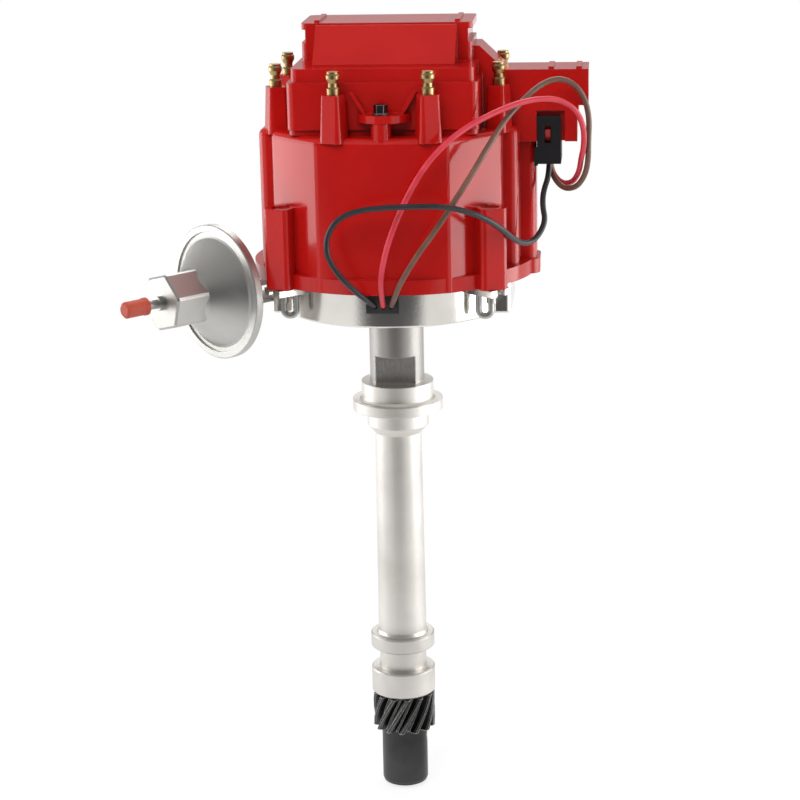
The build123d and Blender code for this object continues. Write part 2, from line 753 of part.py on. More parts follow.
# Cap
tower_foot_z = cap_top_z - 2.2
tower_lean = degrees(atan2((tower_base_w - tower_top_w) / 2, tower_top_z - tower_foot_z))
with BuildPart() as cap:
    with BuildSketch(Plane.XY.offset(rim_z)) as cap_outline:
        with BuildLine():
            fx, fy = facet_corner
            gx, gy = side_corner
            mid = 0.7071 * (hypot((fx + gx) / 2, (fy + gy) / 2) + 0.8)
            ThreePointArc((-fx, -fy), (0, -fy - facet_bow), (fx, -fy))
            ThreePointArc((fx, -fy), (mid, -mid), (gx, -gy))
            Line((gx, -gy), (gx, gy))
            ThreePointArc((gx, gy), (mid, mid), (fx, fy))
            ThreePointArc((fx, fy), (0, fy + facet_bow), (-fx, fy))
            ThreePointArc((-fx, fy), (-mid, mid), (-gx, gy))
            Line((-gx, gy), (-gx, -gy))
            ThreePointArc((-gx, -gy), (-mid, -mid), (-fx, -fy))
        make_face()
        fillet(cap_outline.vertices(), 4.0)
        with BuildSketch(mode=Mode.PRIVATE) as cap_pads:
            Rectangle(2 * cap_pad_x, 2 * side_pad_y)
            fillet(cap_pads.vertices(), 4.5)
        add(cap_pads.sketch)
        with BuildSketch(mode=Mode.PRIVATE) as column:
            with Locations((column_x / 2, 0)):
                Rectangle(column_x, 2 * column_y)
            fillet(column.vertices().sort_by(Axis.X)[-2:], 4.0)
        add(column.sketch)
    extrude(amount=cap_top_z - rim_z)
    shoulder_edges = cap.faces().sort_by(Axis.Z)[-1].outer_wire().edges()
    fillet(shoulder_edges, shoulder_r)
    # Skirt
    with BuildSketch(Plane.XY.offset(rim_z)) as skirt:
        Ellipse(skirt_rx, skirt_ry)
        with BuildSketch(mode=Mode.PRIVATE) as column_foot:
            with Locations((column_x / 2 + 0.8, 0)):
                Rectangle(column_x + 1.6, 2 * column_y + 4)
            fillet(column_foot.vertices().sort_by(Axis.X)[-2:], 6.0)
        add(column_foot.sketch)
    extrude(amount=skirt_h)
    # Latch bosses
    with BuildSketch(Plane.XY.offset(rim_z)) as bosses:
        for x, y in corner_locations():
            with BuildSketch(mode=Mode.PRIVATE) as boss:
                Rectangle(boss_w, boss_w)
                fillet(boss.vertices(), 2.6)
            with Locations(turned_square(x, y)):
                add(boss.sketch)
    extrude(amount=boss_top_z - rim_z)
    # Towers, with feet that stand a little proud of the shoulder
    for k in range(tower_count):
        spoke = Plane.XY.rotated((0, 0, (k + 0.5) * 360.0 / tower_count))
        with BuildSketch(spoke.offset(tower_foot_z)) as tower_foot:
            with Locations((tower_circle_r, 0)):
                Rectangle(tower_base_w - 0.8, tower_base_w)
            fillet(tower_foot.vertices(), 2.6)
        extrude(amount=tower_top_z - tower_foot_z, taper=tower_lean)
    # Posts for the cover screws and pads for the coil's core
    with BuildSketch(Plane.XY.offset(cap_top_z - shoulder_r)):
        with Locations((0, cover_screw_y), (0, -cover_screw_y)):
            Circle(post_r)
    extrude(amount=lug_z - cap_top_z + shoulder_r)
    with BuildSketch(Plane.XY.offset(cap_top_z)):
        with GridLocations(2 * coil_screw_x, 2 * coil_screw_y, 2, 2):
            Rectangle(9, 9)
    extrude(amount=core_z - cap_top_z)
    # Terminal shelf under the hood
    with BuildSketch(Plane.XY.offset(shelf_z)):
        with Locations(((shelf_x + side_corner[0]) / 2 - 2, 0)):
            Rectangle(shelf_x - side_corner[0] + 4, 2 * hood_y)
    extrude(amount=cover_z - shelf_z)
    # Room for the rotor, with a recess that the bowl's lip enters
    with BuildSketch(Plane.XY.offset(rim_z)):
        Circle(cavity_r)
    extrude(amount=cavity_top_z - rim_z, mode=Mode.SUBTRACT)
    with BuildSketch(Plane.XY.offset(rim_z)):
        Circle(bowl_inner_r + lip_t + 0.2)
    extrude(amount=lip_h + 0.4, mode=Mode.SUBTRACT)
    # Boss for the carbon brush, well for the coil's winding, bore between them
    with BuildSketch(Plane.XY.offset(brush_boss_z)):
        Circle(brush_r + 4.0)
    extrude(amount=cavity_top_z - brush_boss_z)
    with BuildSketch(Plane.XY.offset(well_floor_z)) as well:
        Rectangle(well_x, well_y)
        fillet(well.vertices(), 4.0)
    extrude(amount=core_z - well_floor_z, mode=Mode.SUBTRACT)
    with BuildSketch(Plane.XY.offset(brush_boss_z)):
        Circle(brush_r + running_gap)
    extrude(amount=well_floor_z - brush_boss_z, mode=Mode.SUBTRACT)
    # Latch bores, with a wider seat for the spring and the head
    with BuildSketch(Plane.XY.offset(rim_z)):
        with Locations(*corner_locations()):
            Circle(latch_shank_r + 0.06)
    extrude(amount=boss_top_z - rim_z, mode=Mode.SUBTRACT)
    with BuildSketch(Plane.XY.offset(latch_seat_z)):
        with Locations(*corner_locations()):
            Circle(latch_head_r + slip_gap)
    extrude(amount=boss_top_z - latch_seat_z, mode=Mode.SUBTRACT)
    # Screw holes
    with BuildSketch(Plane.XY.offset(cap_top_z - 6)):
        with Locations((0, cover_screw_y), (0, -cover_screw_y)):
            Circle(screw_r - 0.2)
    extrude(amount=20, mode=Mode.SUBTRACT)
    with BuildSketch(Plane.XY.offset(core_z - 9)):
        with GridLocations(2 * coil_screw_x, 2 * coil_screw_y, 2, 2):
            Circle(screw_r - 0.2)
    extrude(amount=9, mode=Mode.SUBTRACT)
    # Socket for the connector: pocket below, recesses front and back, three blade slots
    with BuildSketch(Plane.XY.offset(shelf_z)):
        with Locations((plug_x, 0)):
            Rectangle(plug_top_x + 0.6, 2 * plug_top_y + 0.6)
    extrude(amount=plug_top_h + 0.4, mode=Mode.SUBTRACT)
    with BuildSketch(Plane.XY.offset(shelf_z)):
        with Locations(*[(plug_x + 0.9, side * (lock_y + 5 - slip_gap)) for side in (-1, 1)]):
            Rectangle(plug_w + 2.0, 10)
    extrude(amount=cover_z - shelf_z, mode=Mode.SUBTRACT)
    with BuildSketch(Plane.XY.offset(shelf_z)):
        with Locations(*[(plug_x, lead_pitch * k) for k in (-1, 0, 1)]):
            Rectangle(blade_t + 0.1, blade_w + 0.1)
    extrude(amount=cover_z - shelf_z, mode=Mode.SUBTRACT)
    # Lock tabs, wedges that the connector's windows snap over
    for side in (-1, 1):
        with BuildSketch(Plane.YZ.offset(lock_tab_x - 1.3)):
            with BuildLine():
                Polyline(
                    (side * (lock_y - slip_gap - 0.5), shelf_z + 0.2),
                    (side * (lock_y - slip_gap + 0.4), shelf_z + 0.2),
                    (side * (lock_y + 2.2), shelf_z + 5.6),
                    (side * (lock_y - slip_gap - 0.5), shelf_z + 5.6),
                    close=True,
                )
            make_face()
        extrude(amount=2.6)
    # The terminals are moulded in
    add(tower_terminals.part, mode=Mode.SUBTRACT)
finish(cap.part, "cap")

# Carbon brush, its spring, and the rubber seal round the coil's contact
brush_top_z = contact_top_z + 8.0
with BuildPart() as centre_brush:
    with BuildSketch(Plane.XY.offset(contact_top_z + running_gap)):
        Circle(brush_r)
    extrude(amount=brush_top_z - contact_top_z)
    fillet(centre_brush.edges().sort_by(Axis.Z)[0], 0.6)
finish(centre_brush.part, "centre_brush")

contact_stub_z = well_floor_z - 1.6
with BuildPart() as brush_spring:
    with BuildSketch(Plane.XY.offset(brush_top_z + 0.3)):
        Circle(brush_r - 0.3)
        Circle(brush_r - 0.9, mode=Mode.SUBTRACT)
    extrude(amount=contact_stub_z - brush_top_z - 0.4)
finish(brush_spring.part, "brush_spring")

winding_low_z = core_z + core_t / 2 - winding_r
with BuildPart() as brush_seal:
    with BuildSketch(Plane.XY.offset(well_floor_z)):
        Circle(9.5)
        Circle(3.2, mode=Mode.SUBTRACT)
    extrude(amount=winding_low_z - well_floor_z - 0.1)
finish(brush_seal.part, "brush_seal")

# Ignition coil: laminated frame round a winding that lies across the cap
window_y = core_y / 2 - core_limb
with BuildPart() as coil_core:
    with BuildSketch(Plane.XY.offset(core_z)):
        Rectangle(core_x, core_y)
        with Locations((0, (window_y + core_limb) / 2), (0, -(window_y + core_limb) / 2)):
            Rectangle(core_x - 2 * core_limb, window_y - core_limb, mode=Mode.SUBTRACT)
        with GridLocations(2 * coil_screw_x, 2 * coil_screw_y, 2, 2):
            Circle(screw_r, mode=Mode.SUBTRACT)
    extrude(amount=core_t)
finish(coil_core.part, "coil_core")

with BuildPart() as coil_winding:
    with BuildSketch(Plane.YZ.offset(-winding_x / 2)):
        with Locations((0, core_z + core_t / 2)):
            Circle(winding_r)
            Rectangle(2 * core_limb + 0.2, core_t + 0.2, mode=Mode.SUBTRACT)
    extrude(amount=winding_x)
    with BuildSketch(Plane.XY.offset(contact_stub_z)):
        Circle(2.0)
    extrude(amount=winding_low_z - contact_stub_z + 3.0)
finish(coil_winding.part, "coil_winding")

with BuildPart() as coil_screws:
    with BuildSketch(Plane.XY.offset(core_z - 8)):
        with GridLocations(2 * coil_screw_x, 2 * coil_screw_y, 2, 2):
            Circle(screw_r - 0.2)
    extrude(amount=core_t + 8)
    with BuildSketch(Plane.XY.offset(core_z + core_t)):
        with GridLocations(2 * coil_screw_x, 2 * coil_screw_y, 2, 2):
            RegularPolygon(3.6, 6)
    extrude(amount=3.0)
finish(coil_screws.part, "coil_screws")

block_x = core_x / 2
with BuildPart() as coil_blades:
    with BuildSketch(Plane.XY.offset(lead_end_z + 0.4)):
        with Locations(*[(plug_x, lead_pitch * k) for k in (-1, 0, 1)]):
            Rectangle(blade_t, blade_w)
    extrude(amount=blade_top_z - lead_end_z - 0.4)
    with BuildSketch(Plane.XY.offset(blade_top_z - blade_t)):
        with Locations(*[((block_x + 3 + plug_x + blade_t / 2) / 2, lead_pitch * k) for k in (-1, 0, 1)]):
            Rectangle(plug_x + blade_t / 2 - block_x - 3, blade_w)
    extrude(amount=blade_t)
finish(coil_blades.part, "coil_blades")

with BuildPart() as coil_terminal_block:
    with BuildSketch(Plane.XY.offset(core_z)):
        with Locations((block_x + 4, 0)):
            Rectangle(8, 16)
    extrude(amount=5.0)
    add(coil_blades.part, mode=Mode.SUBTRACT)
finish(coil_terminal_block.part, "coil_terminal_block")

# Coil cover
with BuildPart() as coil_cover:
    with BuildSketch(Plane.XY.offset(cover_z)) as tier_low:
        Rectangle(2 * tier_low_x, 2 * tier_low_y)
        fillet(tier_low.vertices(), 4.0)
    extrude(amount=tier_low_top_z - cover_z)
    with BuildSketch(Plane.XY.offset(tier_low_top_z)) as tier_high:
        Rectangle(2 * (tier_low_x - tier_step), 2 * (tier_low_y - tier_step))
        fillet(tier_high.vertices(), 3.5)
    extrude(amount=tier_high_top_z - tier_low_top_z)
    with BuildSketch(Plane.XY.offset(tier_high_top_z)) as crown:
        Rectangle(2 * crown_x, 2 * crown_y)
        fillet(crown.vertices(), 3.0)
    extrude(amount=cover_top_z - tier_high_top_z)
    # Grooves under the crown's lip, at both ends
    with BuildSketch(Plane.XZ.offset(-tier_low_y)):
        for side in (-1, 1):
            with Locations((side * (crown_x + 5 - crown_notch), (crown_notch_z + cover_top_z - crown_lip_h) / 2)):
                Rectangle(10, cover_top_z - crown_lip_h - crown_notch_z)
    extrude(amount=2 * tier_low_y, mode=Mode.SUBTRACT)
    # Sloped front and back over the winding
    with BuildSketch(Plane.YZ.offset(-bulge_x)):
        with BuildLine():
            Polyline(
                (-bulge_foot_y, tier_high_top_z - 1),
                (-bulge_foot_y, tier_high_top_z + 0.9),
                (-crown_y - 1.4, cover_top_z - 0.8),
                (crown_y + 1.4, cover_top_z - 0.8),
                (bulge_foot_y, tier_high_top_z + 0.9),
                (bulge_foot_y, tier_high_top_z - 1),
                close=True,
            )
        make_face()
    extrude(amount=2 * bulge_x)
    # Hood over the terminals, joined to the cover by a sloped duct
    with BuildSketch(Plane.XZ.offset(-hood_y)):
        with BuildLine():
            Polyline(
                (tier_low_x - 6, cover_z),
                (tier_low_x - 6, cover_top_z - 11.6),
                (tier_low_x - 1.4, cover_top_z - 11.6),
                (tier_low_x + 10.6, hood_top_z),
                (hood_x, hood_top_z),
                (hood_x, hood_notch_z),
                (hood_x - 4.6, hood_notch_z),
                (hood_x - 4.6, cover_z),
                close=True,
            )
        make_face()
    extrude(amount=2 * hood_y)
    # Screw lugs with a rib on each side
    with BuildSketch(Plane.XY.offset(lug_z)):
        for side in (-1, 1):
            with Locations((0.8, side * lug_y)):
                Circle(lug_r)
    extrude(amount=lug_t)
    for side in (-1, 1):
        for lean in (-1, 1):
            with BuildSketch(Plane.XZ.offset(side * (tier_low_y - 1))):
                with BuildLine():
                    Polyline(
                        (0.8 + lean * 13.6, lug_z + lug_t + 10.0),
                        (0.8 + lean * 15.6, lug_z + lug_t + 10.0),
                        (0.8 + lean * 9.2, lug_z + lug_t - 0.5),
                        (0.8 + lean * 7.2, lug_z + lug_t - 0.5),
                        close=True,
                    )
                make_face()
            extrude(amount=side * 5.0, taper=0)
    # Bars on the crown and on the hood
    with BuildSketch(Plane.XY.offset(cover_top_z)):
        with Locations((-33, 0), (33, 0)):
            Rectangle(2.4, 2 * crown_y - 8)
    extrude(amount=1.0)
    with BuildSketch(Plane.XY.offset(hood_top_z)):
        with Locations((76.5, 0), (89.5, 0)):
            Rectangle(2.6, 2 * hood_y - 6)
    extrude(amount=0.9)
    # Hollow inside
    with BuildSketch(Plane.XY.offset(cover_z)) as low_room:
        Rectangle(2 * (tier_low_x - cover_wall), 2 * (tier_low_y - cover_wall))
        fillet(low_room.vertices(), 1.5)
    extrude(amount=tier_low_top_z - cover_wall - cover_z, mode=Mode.SUBTRACT)
    with BuildSketch(Plane.XY.offset(cover_z)) as high_room:
        Rectangle(2 * (tier_low_x - tier_step - cover_wall), 2 * (tier_low_y - tier_step - cover_wall))
        fillet(high_room.vertices(), 1.5)
    extrude(amount=tier_high_top_z - cover_wall - cover_z, mode=Mode.SUBTRACT)
    with BuildSketch(Plane.XY.offset(tier_high_top_z - cover_wall - 0.5)) as crown_room:
        Rectangle(2 * (crown_x - crown_notch - cover_wall), 2 * (crown_y - cover_wall))
        fillet(crown_room.vertices(), 1.5)
    extrude(amount=cover_top_z - tier_high_top_z, mode=Mode.SUBTRACT)
    with BuildSketch(Plane.YZ.offset(-bulge_x + cover_wall)):
        with BuildLine():
            Polyline(
                (-bulge_foot_y + cover_wall + 1, tier_high_top_z - cover_wall - 0.5),
                (-bulge_foot_y + cover_wall + 1, tier_high_top_z - cover_wall + 1.4),
                (-crown_y - 0.3, cover_top_z - cover_wall - 0.9),
                (crown_y + 0.3, cover_top_z - cover_wall - 0.9),
                (bulge_foot_y - cover_wall - 1, tier_high_top_z - cover_wall + 1.4),
                (bulge_foot_y - cover_wall - 1, tier_high_top_z - cover_wall - 0.5),
                close=True,
            )
        make_face()
    extrude(amount=2 * (bulge_x - cover_wall), mode=Mode.SUBTRACT)
    with BuildSketch(Plane.XZ.offset(-hood_room_y)):
        with BuildLine():
            Polyline(
                (tier_low_x - 12, cover_z),
                (tier_low_x - 12, cover_top_z - 15.0),
                (tier_low_x - 2.6, cover_top_z - 15.0),
                (tier_low_x + 9.6, hood_top_z - cover_wall),
                (hood_x - cover_wall, hood_top_z - cover_wall),
                (hood_x - cover_wall, hood_notch_z + cover_wall),
                (hood_x - 4.6 - cover_wall, hood_notch_z + cover_wall),
                (hood_x - 4.6 - cover_wall, cover_z),
                close=True,
            )
        make_face()
    extrude(amount=2 * hood_room_y, mode=Mode.SUBTRACT)
    # Notches that clear the towers
    for k in range(tower_count):
        spoke = Plane.XY.rotated((0, 0, (k + 0.5) * 360.0 / tower_count))
        with BuildSketch(spoke.offset(cover_z)):
            with Locations((tower_circle_r, 0)):
                Rectangle(tower_base_w, tower_base_w + 0.4)
        extrude(amount=tower_top_z - cover_z, taper=tower_lean, mode=Mode.SUBTRACT)
    # Room for the connector's lock plates in the hood's sides, and the screw holes
    with BuildSketch(Plane.XY.offset(cover_z)):
        with Locations(*[(plug_x + 0.9, side * (lock_y + 5 - slip_gap)) for side in (-1, 1)]):
            Rectangle(plug_w + 2.0, 10)
    extrude(amount=3.6, mode=Mode.SUBTRACT)
    with BuildSketch(Plane.XY.offset(lug_z)):
        with Locations((0, cover_screw_y), (0, -cover_screw_y)):
            Circle(screw_r)
    extrude(amount=lug_t, mode=Mode.SUBTRACT)
finish(coil_cover.part, "coil_cover")

with BuildPart() as cover_screws:
    for radius, low_z, high_z in (
        (screw_r - 0.2, cap_top_z - 5, lug_z + lug_t),
        (3.7, lug_z + lug_t, lug_z + lug_t + 0.9),
    ):
        with BuildSketch(Plane.XY.offset(low_z)):
            with Locations((0, cover_screw_y), (0, -cover_screw_y)):
                Circle(radius)
        extrude(amount=high_z - low_z)
    with BuildSketch(Plane.XY.offset(lug_z + lug_t + 0.9)):
        with Locations((0, cover_screw_y), (0, -cover_screw_y)):
            RegularPolygon(3.3, 6)
    extrude(amount=4.0)
finish(cover_screws.part, "cover_screws")

# Connector on the shelf's underside
with BuildPart() as harness_connector:
    with BuildSketch(Plane.XY.offset(plug_z)):
        with Locations((plug_x + 0.15, 0)):
            Rectangle(plug_w, 2 * plug_low_y)
    extrude(amount=shelf_z - plug_z)
    with BuildSketch(Plane.XY.offset(shelf_z)):
        with Locations((plug_x, 0)):
            Rectangle(plug_top_x, 2 * plug_top_y)
    extrude(amount=plug_top_h)
    with BuildSketch(Plane.XY.offset(plug_z)):
        with Locations(*[(plug_x + 0.05, side * (lock_y + lock_t / 2)) for side in (-1, 1)]):
            Rectangle(plug_w, lock_t)
    extrude(amount=lock_top_z - plug_z)
    with BuildSketch(Plane.XY.offset(plug_z)):
        with Locations((plug_x + 0.15, 0)):
            Rectangle(plug_w - 1.0, 2 * lock_y + 0.4)
    extrude(amount=5.0)
    with BuildSketch(Plane.XY.offset(plug_z - 0.8)):
        with Locations((plug_x + 0.05 - plug_w / 2 - 0.6, -lock_y - lock_t / 2)):
            Rectangle(1.8, lock_t)
    extrude(amount=8.5)
    with BuildSketch(Plane.XZ.offset(-20)):
        with Locations((lock_tab_x, shelf_z + 3.4)):
            Rectangle(3.2, 8.4)
    extrude(amount=20 - plug_low_y - 0.3, mode=Mode.SUBTRACT)
    with BuildSketch(Plane.XZ.offset(plug_low_y + 0.3)):
        with Locations((lock_tab_x, shelf_z + 3.4)):
            Rectangle(3.2, 8.4)
    extrude(amount=20, mode=Mode.SUBTRACT)
    with BuildSketch(Plane.XY.offset(plug_z)):
        with Locations(*[(plug_x, lead_pitch * k) for k in (-1, 0, 1)]):
            Circle(lead_r + 0.02)
    extrude(amount=lead_end_z - plug_z, mode=Mode.SUBTRACT)
    with BuildSketch(Plane.XY.offset(lead_end_z + 0.4)):
        with Locations(*[(plug_x, lead_pitch * k) for k in (-1, 0, 1)]):
            Rectangle(blade_t, blade_w)
    extrude(amount=30, mode=Mode.SUBTRACT)
finish(harness_connector.part, "harness_connector")

# Leads: each runs from the grommet up the cap's front, round the right side, and up into the connector
routes = {
    "lead_red": [
        (-0.5, -56.5, 64.5), (-0.5, -62.3, 70.3), (-0.5, -66, 79.5), (2, -67, 91.5), (6.5, -66, 104.5),
        (13, -65.5, 118.5), (20.5, -66, 131), (29.5, -64.5, 141), (39.5, -58, 148), (50, -50, 152.5),
        (60.5, -43, 156), (70.5, -36, 157.5), (80.5, -30.5, 156.5), (88.5, -26.5, 151),
        (92, -24.5, 142.5), (92, -22, 133), (90.5, -16.5, 126), (89.7, -12.6, 119.5), (86.4, -6.4, 113),
        (80.5, 0.6, 111.6), (75.4, 5, 117.9), (75.4, 5, 126.3),
    ],
    "lead_brown": [
        (3.5, -56.5, 64.5), (5.5, -62.3, 70.3), (9.5, -66, 79), (17, -67, 91), (26, -66, 103),
        (34, -64, 115), (42, -59.5, 127), (49, -52, 138.5), (56.5, -43, 149.5), (64.5, -35, 157),
        (72, -28, 163), (80.5, -23.5, 165.5), (88, -21.5, 162), (92.5, -20, 155), (94.5, -19, 145.5),
        (94, -18, 135), (94, -17, 126), (92.5, -14.5, 118), (88.2, -11.6, 111.5), (81.3, -6, 110.2),
        (75.4, 0, 117.8), (75.4, 0, 126.3),
    ],
    "lead_black": [
        (-4.5, -56.5, 64.5), (-8, -62.2, 68.8), (-13.5, -66, 74.5), (-20.5, -67.5, 82.5), (-25, -67.5, 91),
        (-24.5, -67.5, 100), (-19.5, -67.5, 107.5), (-11, -68.5, 111.5), (1.5, -71.5, 113.5),
        (14.5, -74, 114.5), (27, -73, 114.5), (37, -68, 112), (46.7, -63, 107.5), (54.2, -54.9, 101),
        (59.7, -43.5, 93.4), (64.5, -31, 88.3), (69.8, -24.8, 89.6), (74, -20.5, 97), (72.5, -18.5, 104),
        (72.6, -12.8, 110), (75.4, -5, 117.2), (75.4, -5, 126.3),
    ],
}
grommet_bore = 2.5
lead_starts = {}
for name, route in routes.items():
    points = [Vector(*p) for p in route]
    back = (points[0] - points[1]).normalized()
    points[0] = points[0] + back * grommet_bore
    lead_starts[name] = (points[0], back * -1)
    radii = []
    for before, here, after in zip(points, points[1:], points[2:]):
        half_turn = radians((here - before).get_angle(after - here)) / 2
        shorter = min((here - before).length, (after - here).length)
        radii.append(0.45 * shorter / tan(half_turn))
    with BuildPart() as lead:
        with BuildLine() as lead_path:
            FilletPolyline(*points, radius=radii)
        with BuildSketch(Plane(origin=points[0], z_dir=points[1] - points[0])):
            Circle(lead_r)
        sweep(path=lead_path.wires()[0])
    length = lead_path.wires()[0].length
    print(name, "length", round(length, 1), "radii", [round(r, 1) for r in radii],
          "volume", round(lead.part.volume), "against", round(pi * lead_r ** 2 * length))
    finish(lead.part, name)

# Rubber grommet in the bowl's front notch
with BuildPart() as harness_grommet:
    with BuildSketch(Plane.XY.offset(grommet_low_z)):
        with Locations((-0.7, -bowl_r + 0.4)):
            Rectangle(2 * grommet_x, 3.6)
        Circle(bowl_r, mode=Mode.SUBTRACT)
    extrude(amount=rim_z - 0.1 - grommet_low_z)
    with BuildSketch(Plane.XY.offset(grommet_low_z + 1.0)):
        with Locations((-0.7, -bowl_r + bowl_wall / 2)):
            Rectangle(2 * grommet_x - 2.0, bowl_wall + 2)
    extrude(amount=rim_z - 0.1 - grommet_low_z - 1.0)
    with BuildSketch(Plane.XY.offset(grommet_low_z + 1.0)):
        with Locations((-0.7, -bowl_inner_r + 1.4)):
            Rectangle(2 * grommet_x, 2.0)
        Circle(bowl_inner_r - 0.05, mode=Mode.INTERSECT)
    extrude(amount=rim_z - 0.1 - grommet_low_z - 1.0)
    for start, way in lead_starts.values():
        with BuildSketch(Plane(origin=start, z_dir=way)):
            Circle(lead_r + 0.02)
        extrude(amount=8, mode=Mode.SUBTRACT)
finish(harness_grommet.part, "harness_grommet")

# Latches: slotted head, shank, and a hook bent from the shank's foot, in towards the bowl
for number, (x, y) in enumerate(corner_locations(), start=1):
    inward = -1 if x > 0 else 1
    hook_out = 2 * hook_bend_r + 0.6
    with BuildPart() as latch:
        with BuildSketch(Plane.XY.offset(rim_z - ear_t - 4.0)):
            with Locations((x, y)):
                Circle(latch_shank_r)
        extrude(amount=latch_head_z - rim_z + ear_t + 4.0)
        with BuildSketch(Plane.XY.offset(latch_head_z)):
            with Locations((x, y)):
                Circle(latch_head_r)
        extrude(amount=latch_head_h)
        with BuildSketch(Plane.XY.offset(latch_head_z + latch_head_h - 1.4)):
            with Locations((x, y)):
                Rectangle(1.3, 12, rotation=60 * inward)
        extrude(amount=2, mode=Mode.SUBTRACT)
        with BuildLine() as hook_path:
            FilletPolyline(
                (x, y, rim_z - ear_t - 3.0),
                (x, y, hook_low_z + hook_wire_r),
                (x + inward * hook_out, y, hook_low_z + hook_wire_r),
                (x + inward * hook_out, y, rim_z - ear_t - hook_gap),
                radius=hook_bend_r,
            )
        with BuildSketch(Plane(origin=(x, y, rim_z - ear_t - 3.0), z_dir=(0, 0, -1))):
            Circle(hook_wire_r)
        sweep(path=hook_path.wires()[0])
    finish(latch.part, f"cap_latch_{number}")

with BuildPart() as latch_springs:
    with BuildSketch(Plane.XY.offset(latch_seat_z + 0.1)):
        with Locations(*corner_locations()):
            Circle(latch_head_r - 0.1)
            Circle(latch_shank_r + 0.35, mode=Mode.SUBTRACT)
    extrude(amount=latch_spring_h - 0.4)
finish(latch_springs.part, "latch_springs")

# Vacuum can, front: rim, cone and hexagon in one pressing
shell_t = 1.2
edge_r = can_r - 1.0
with BuildPart() as vacuum_front:
    with BuildSketch(can_profile):
        with BuildLine():
            Polyline(
                (edge_r, -can_rim_t),
                (edge_r, 0),
                (can_cone_r + 1.0, 0),
                (can_cone_r, 0.6),
                (can_neck_r + 1.2, can_neck_s),
                (can_neck_r, can_neck_s + 2),
                (0, can_neck_s + 2),
                (0, can_neck_s - 1.4),
                (can_neck_r - 0.6, can_neck_s - 1.4),
                (can_cone_r - shell_t - 0.4, -can_rim_t),
                close=True,
            )
        make_face()
    revolve(axis=can_axis)
    with BuildSketch(can_face(can_neck_s)):
        RegularPolygon(hex_across / 2, 6, major_radius=False, rotation=15)
        Circle(hex_across / 2 * 1.12, mode=Mode.INTERSECT)
    extrude(amount=hex_end_s - can_neck_s)
    hex_rim = vacuum_front.faces().sort_by(lambda f: (f.center() - can_point(can_reach)).dot(can_dir))[-1]
    chamfer(hex_rim.outer_wire().edges(), 0.9)
    with BuildSketch(can_face(can_neck_s - 4)):
        Circle(nipple_r)
    extrude(amount=hex_end_s, mode=Mode.SUBTRACT)
finish(vacuum_front.part, "vacuum_front")

with BuildPart() as vacuum_nipple:
    with BuildSketch(can_face(can_neck_s)):
        Circle(nipple_r)
    extrude(amount=nipple_end_s - can_neck_s)
    with BuildSketch(can_face(hex_end_s)):
        Circle(nipple_bead_r)
    extrude(amount=2.4)
    with BuildSketch(can_face(can_neck_s)):
        Circle(1.0)
    extrude(amount=nipple_end_s - can_neck_s, mode=Mode.SUBTRACT)
finish(vacuum_nipple.part, "vacuum_nipple")

with BuildPart() as nipple_cap:
    with BuildSketch(can_profile):
        with BuildLine():
            Polyline(
                (nipple_r + running_gap, nipple_cap_s),
                (nipple_cap_r + 0.3, nipple_cap_s),
                (nipple_cap_r + 0.3, nipple_cap_s + 1.6),
                (nipple_cap_r, nipple_cap_s + 2.2),
                (nipple_cap_r, nipple_cap_end_s - 0.9),
                (nipple_cap_r - 0.9, nipple_cap_end_s),
                (0, nipple_cap_end_s),
                (0, nipple_end_s + 0.3),
                (nipple_r + running_gap, nipple_end_s + 0.3),
                close=True,
            )
        make_face()
    revolve(axis=can_axis)
finish(nipple_cap.part, "nipple_cap")

# Vacuum can, back: dome whose edge is rolled over the front's rim
back_face_s = -can_rim_t - diaphragm_t
with BuildPart() as vacuum_back:
    with BuildSketch(can_profile):
        with BuildLine():
            Polyline(
                (edge_r, back_face_s),
                (edge_r, 0),
                (edge_r - 2.2, 0),
                (edge_r - 2.2, 0.9),
                (can_r - 0.4, 0.9),
                (can_r, 0.5),
                (can_r, back_face_s - 0.8),
                (can_r - 0.4, back_face_s - shell_t),
                (can_cone_r, back_face_s - shell_t),
                (can_cone_r - 1.6, back_face_s - shell_t - 2.0),
                (can_back_r + 2.5, can_back_s),
                (0, can_back_s),
                (0, can_back_s + shell_t),
                (can_back_r + 1.6, can_back_s + shell_t),
                (can_cone_r - 2.8, back_face_s - shell_t - 1.2),
                (can_cone_r - 1.0, back_face_s),
                close=True,
            )
        make_face()
    revolve(axis=can_axis)
    with BuildSketch(can_face(can_back_s - 1)):
        Rectangle(rod_w + 3.0, rod_t + 3.0)
    extrude(amount=4, mode=Mode.SUBTRACT)
finish(vacuum_back.part, "vacuum_back")

with BuildPart() as vacuum_diaphragm:
    with BuildSketch(can_face(back_face_s)):
        Circle(edge_r)
        Circle(5.0, mode=Mode.SUBTRACT)
    extrude(amount=diaphragm_t)
finish(vacuum_diaphragm.part, "vacuum_diaphragm")

# Pull rod with the diaphragm's plate on its end and an eye over the pickup's pin
plate_t = 1.0
eye_slack = 0.12
eye_travel = rod_offset * (1 - cos(radians(8)))
with BuildPart() as vacuum_link:
    with BuildSketch(can_face(-can_rim_t + slip_gap)):
        Circle(16)
    extrude(amount=plate_t)
    with BuildSketch(Plane(can_point(0, can_z - rod_t / 2), x_dir=can_dir, z_dir=(0, 0, 1))):
        with Locations(((can_reach - can_rim_t + slip_gap) / 2, 0)):
            Rectangle(can_reach - can_rim_t + slip_gap, rod_w)
        Circle(4.2)
        with Locations((0, eye_travel / 2)):
            SlotOverall(2 * (link_pin_r + eye_slack) + eye_travel, 2 * (link_pin_r + eye_slack), rotation=90,
                        mode=Mode.SUBTRACT)
    extrude(amount=rod_t)
finish(vacuum_link.part, "vacuum_link")

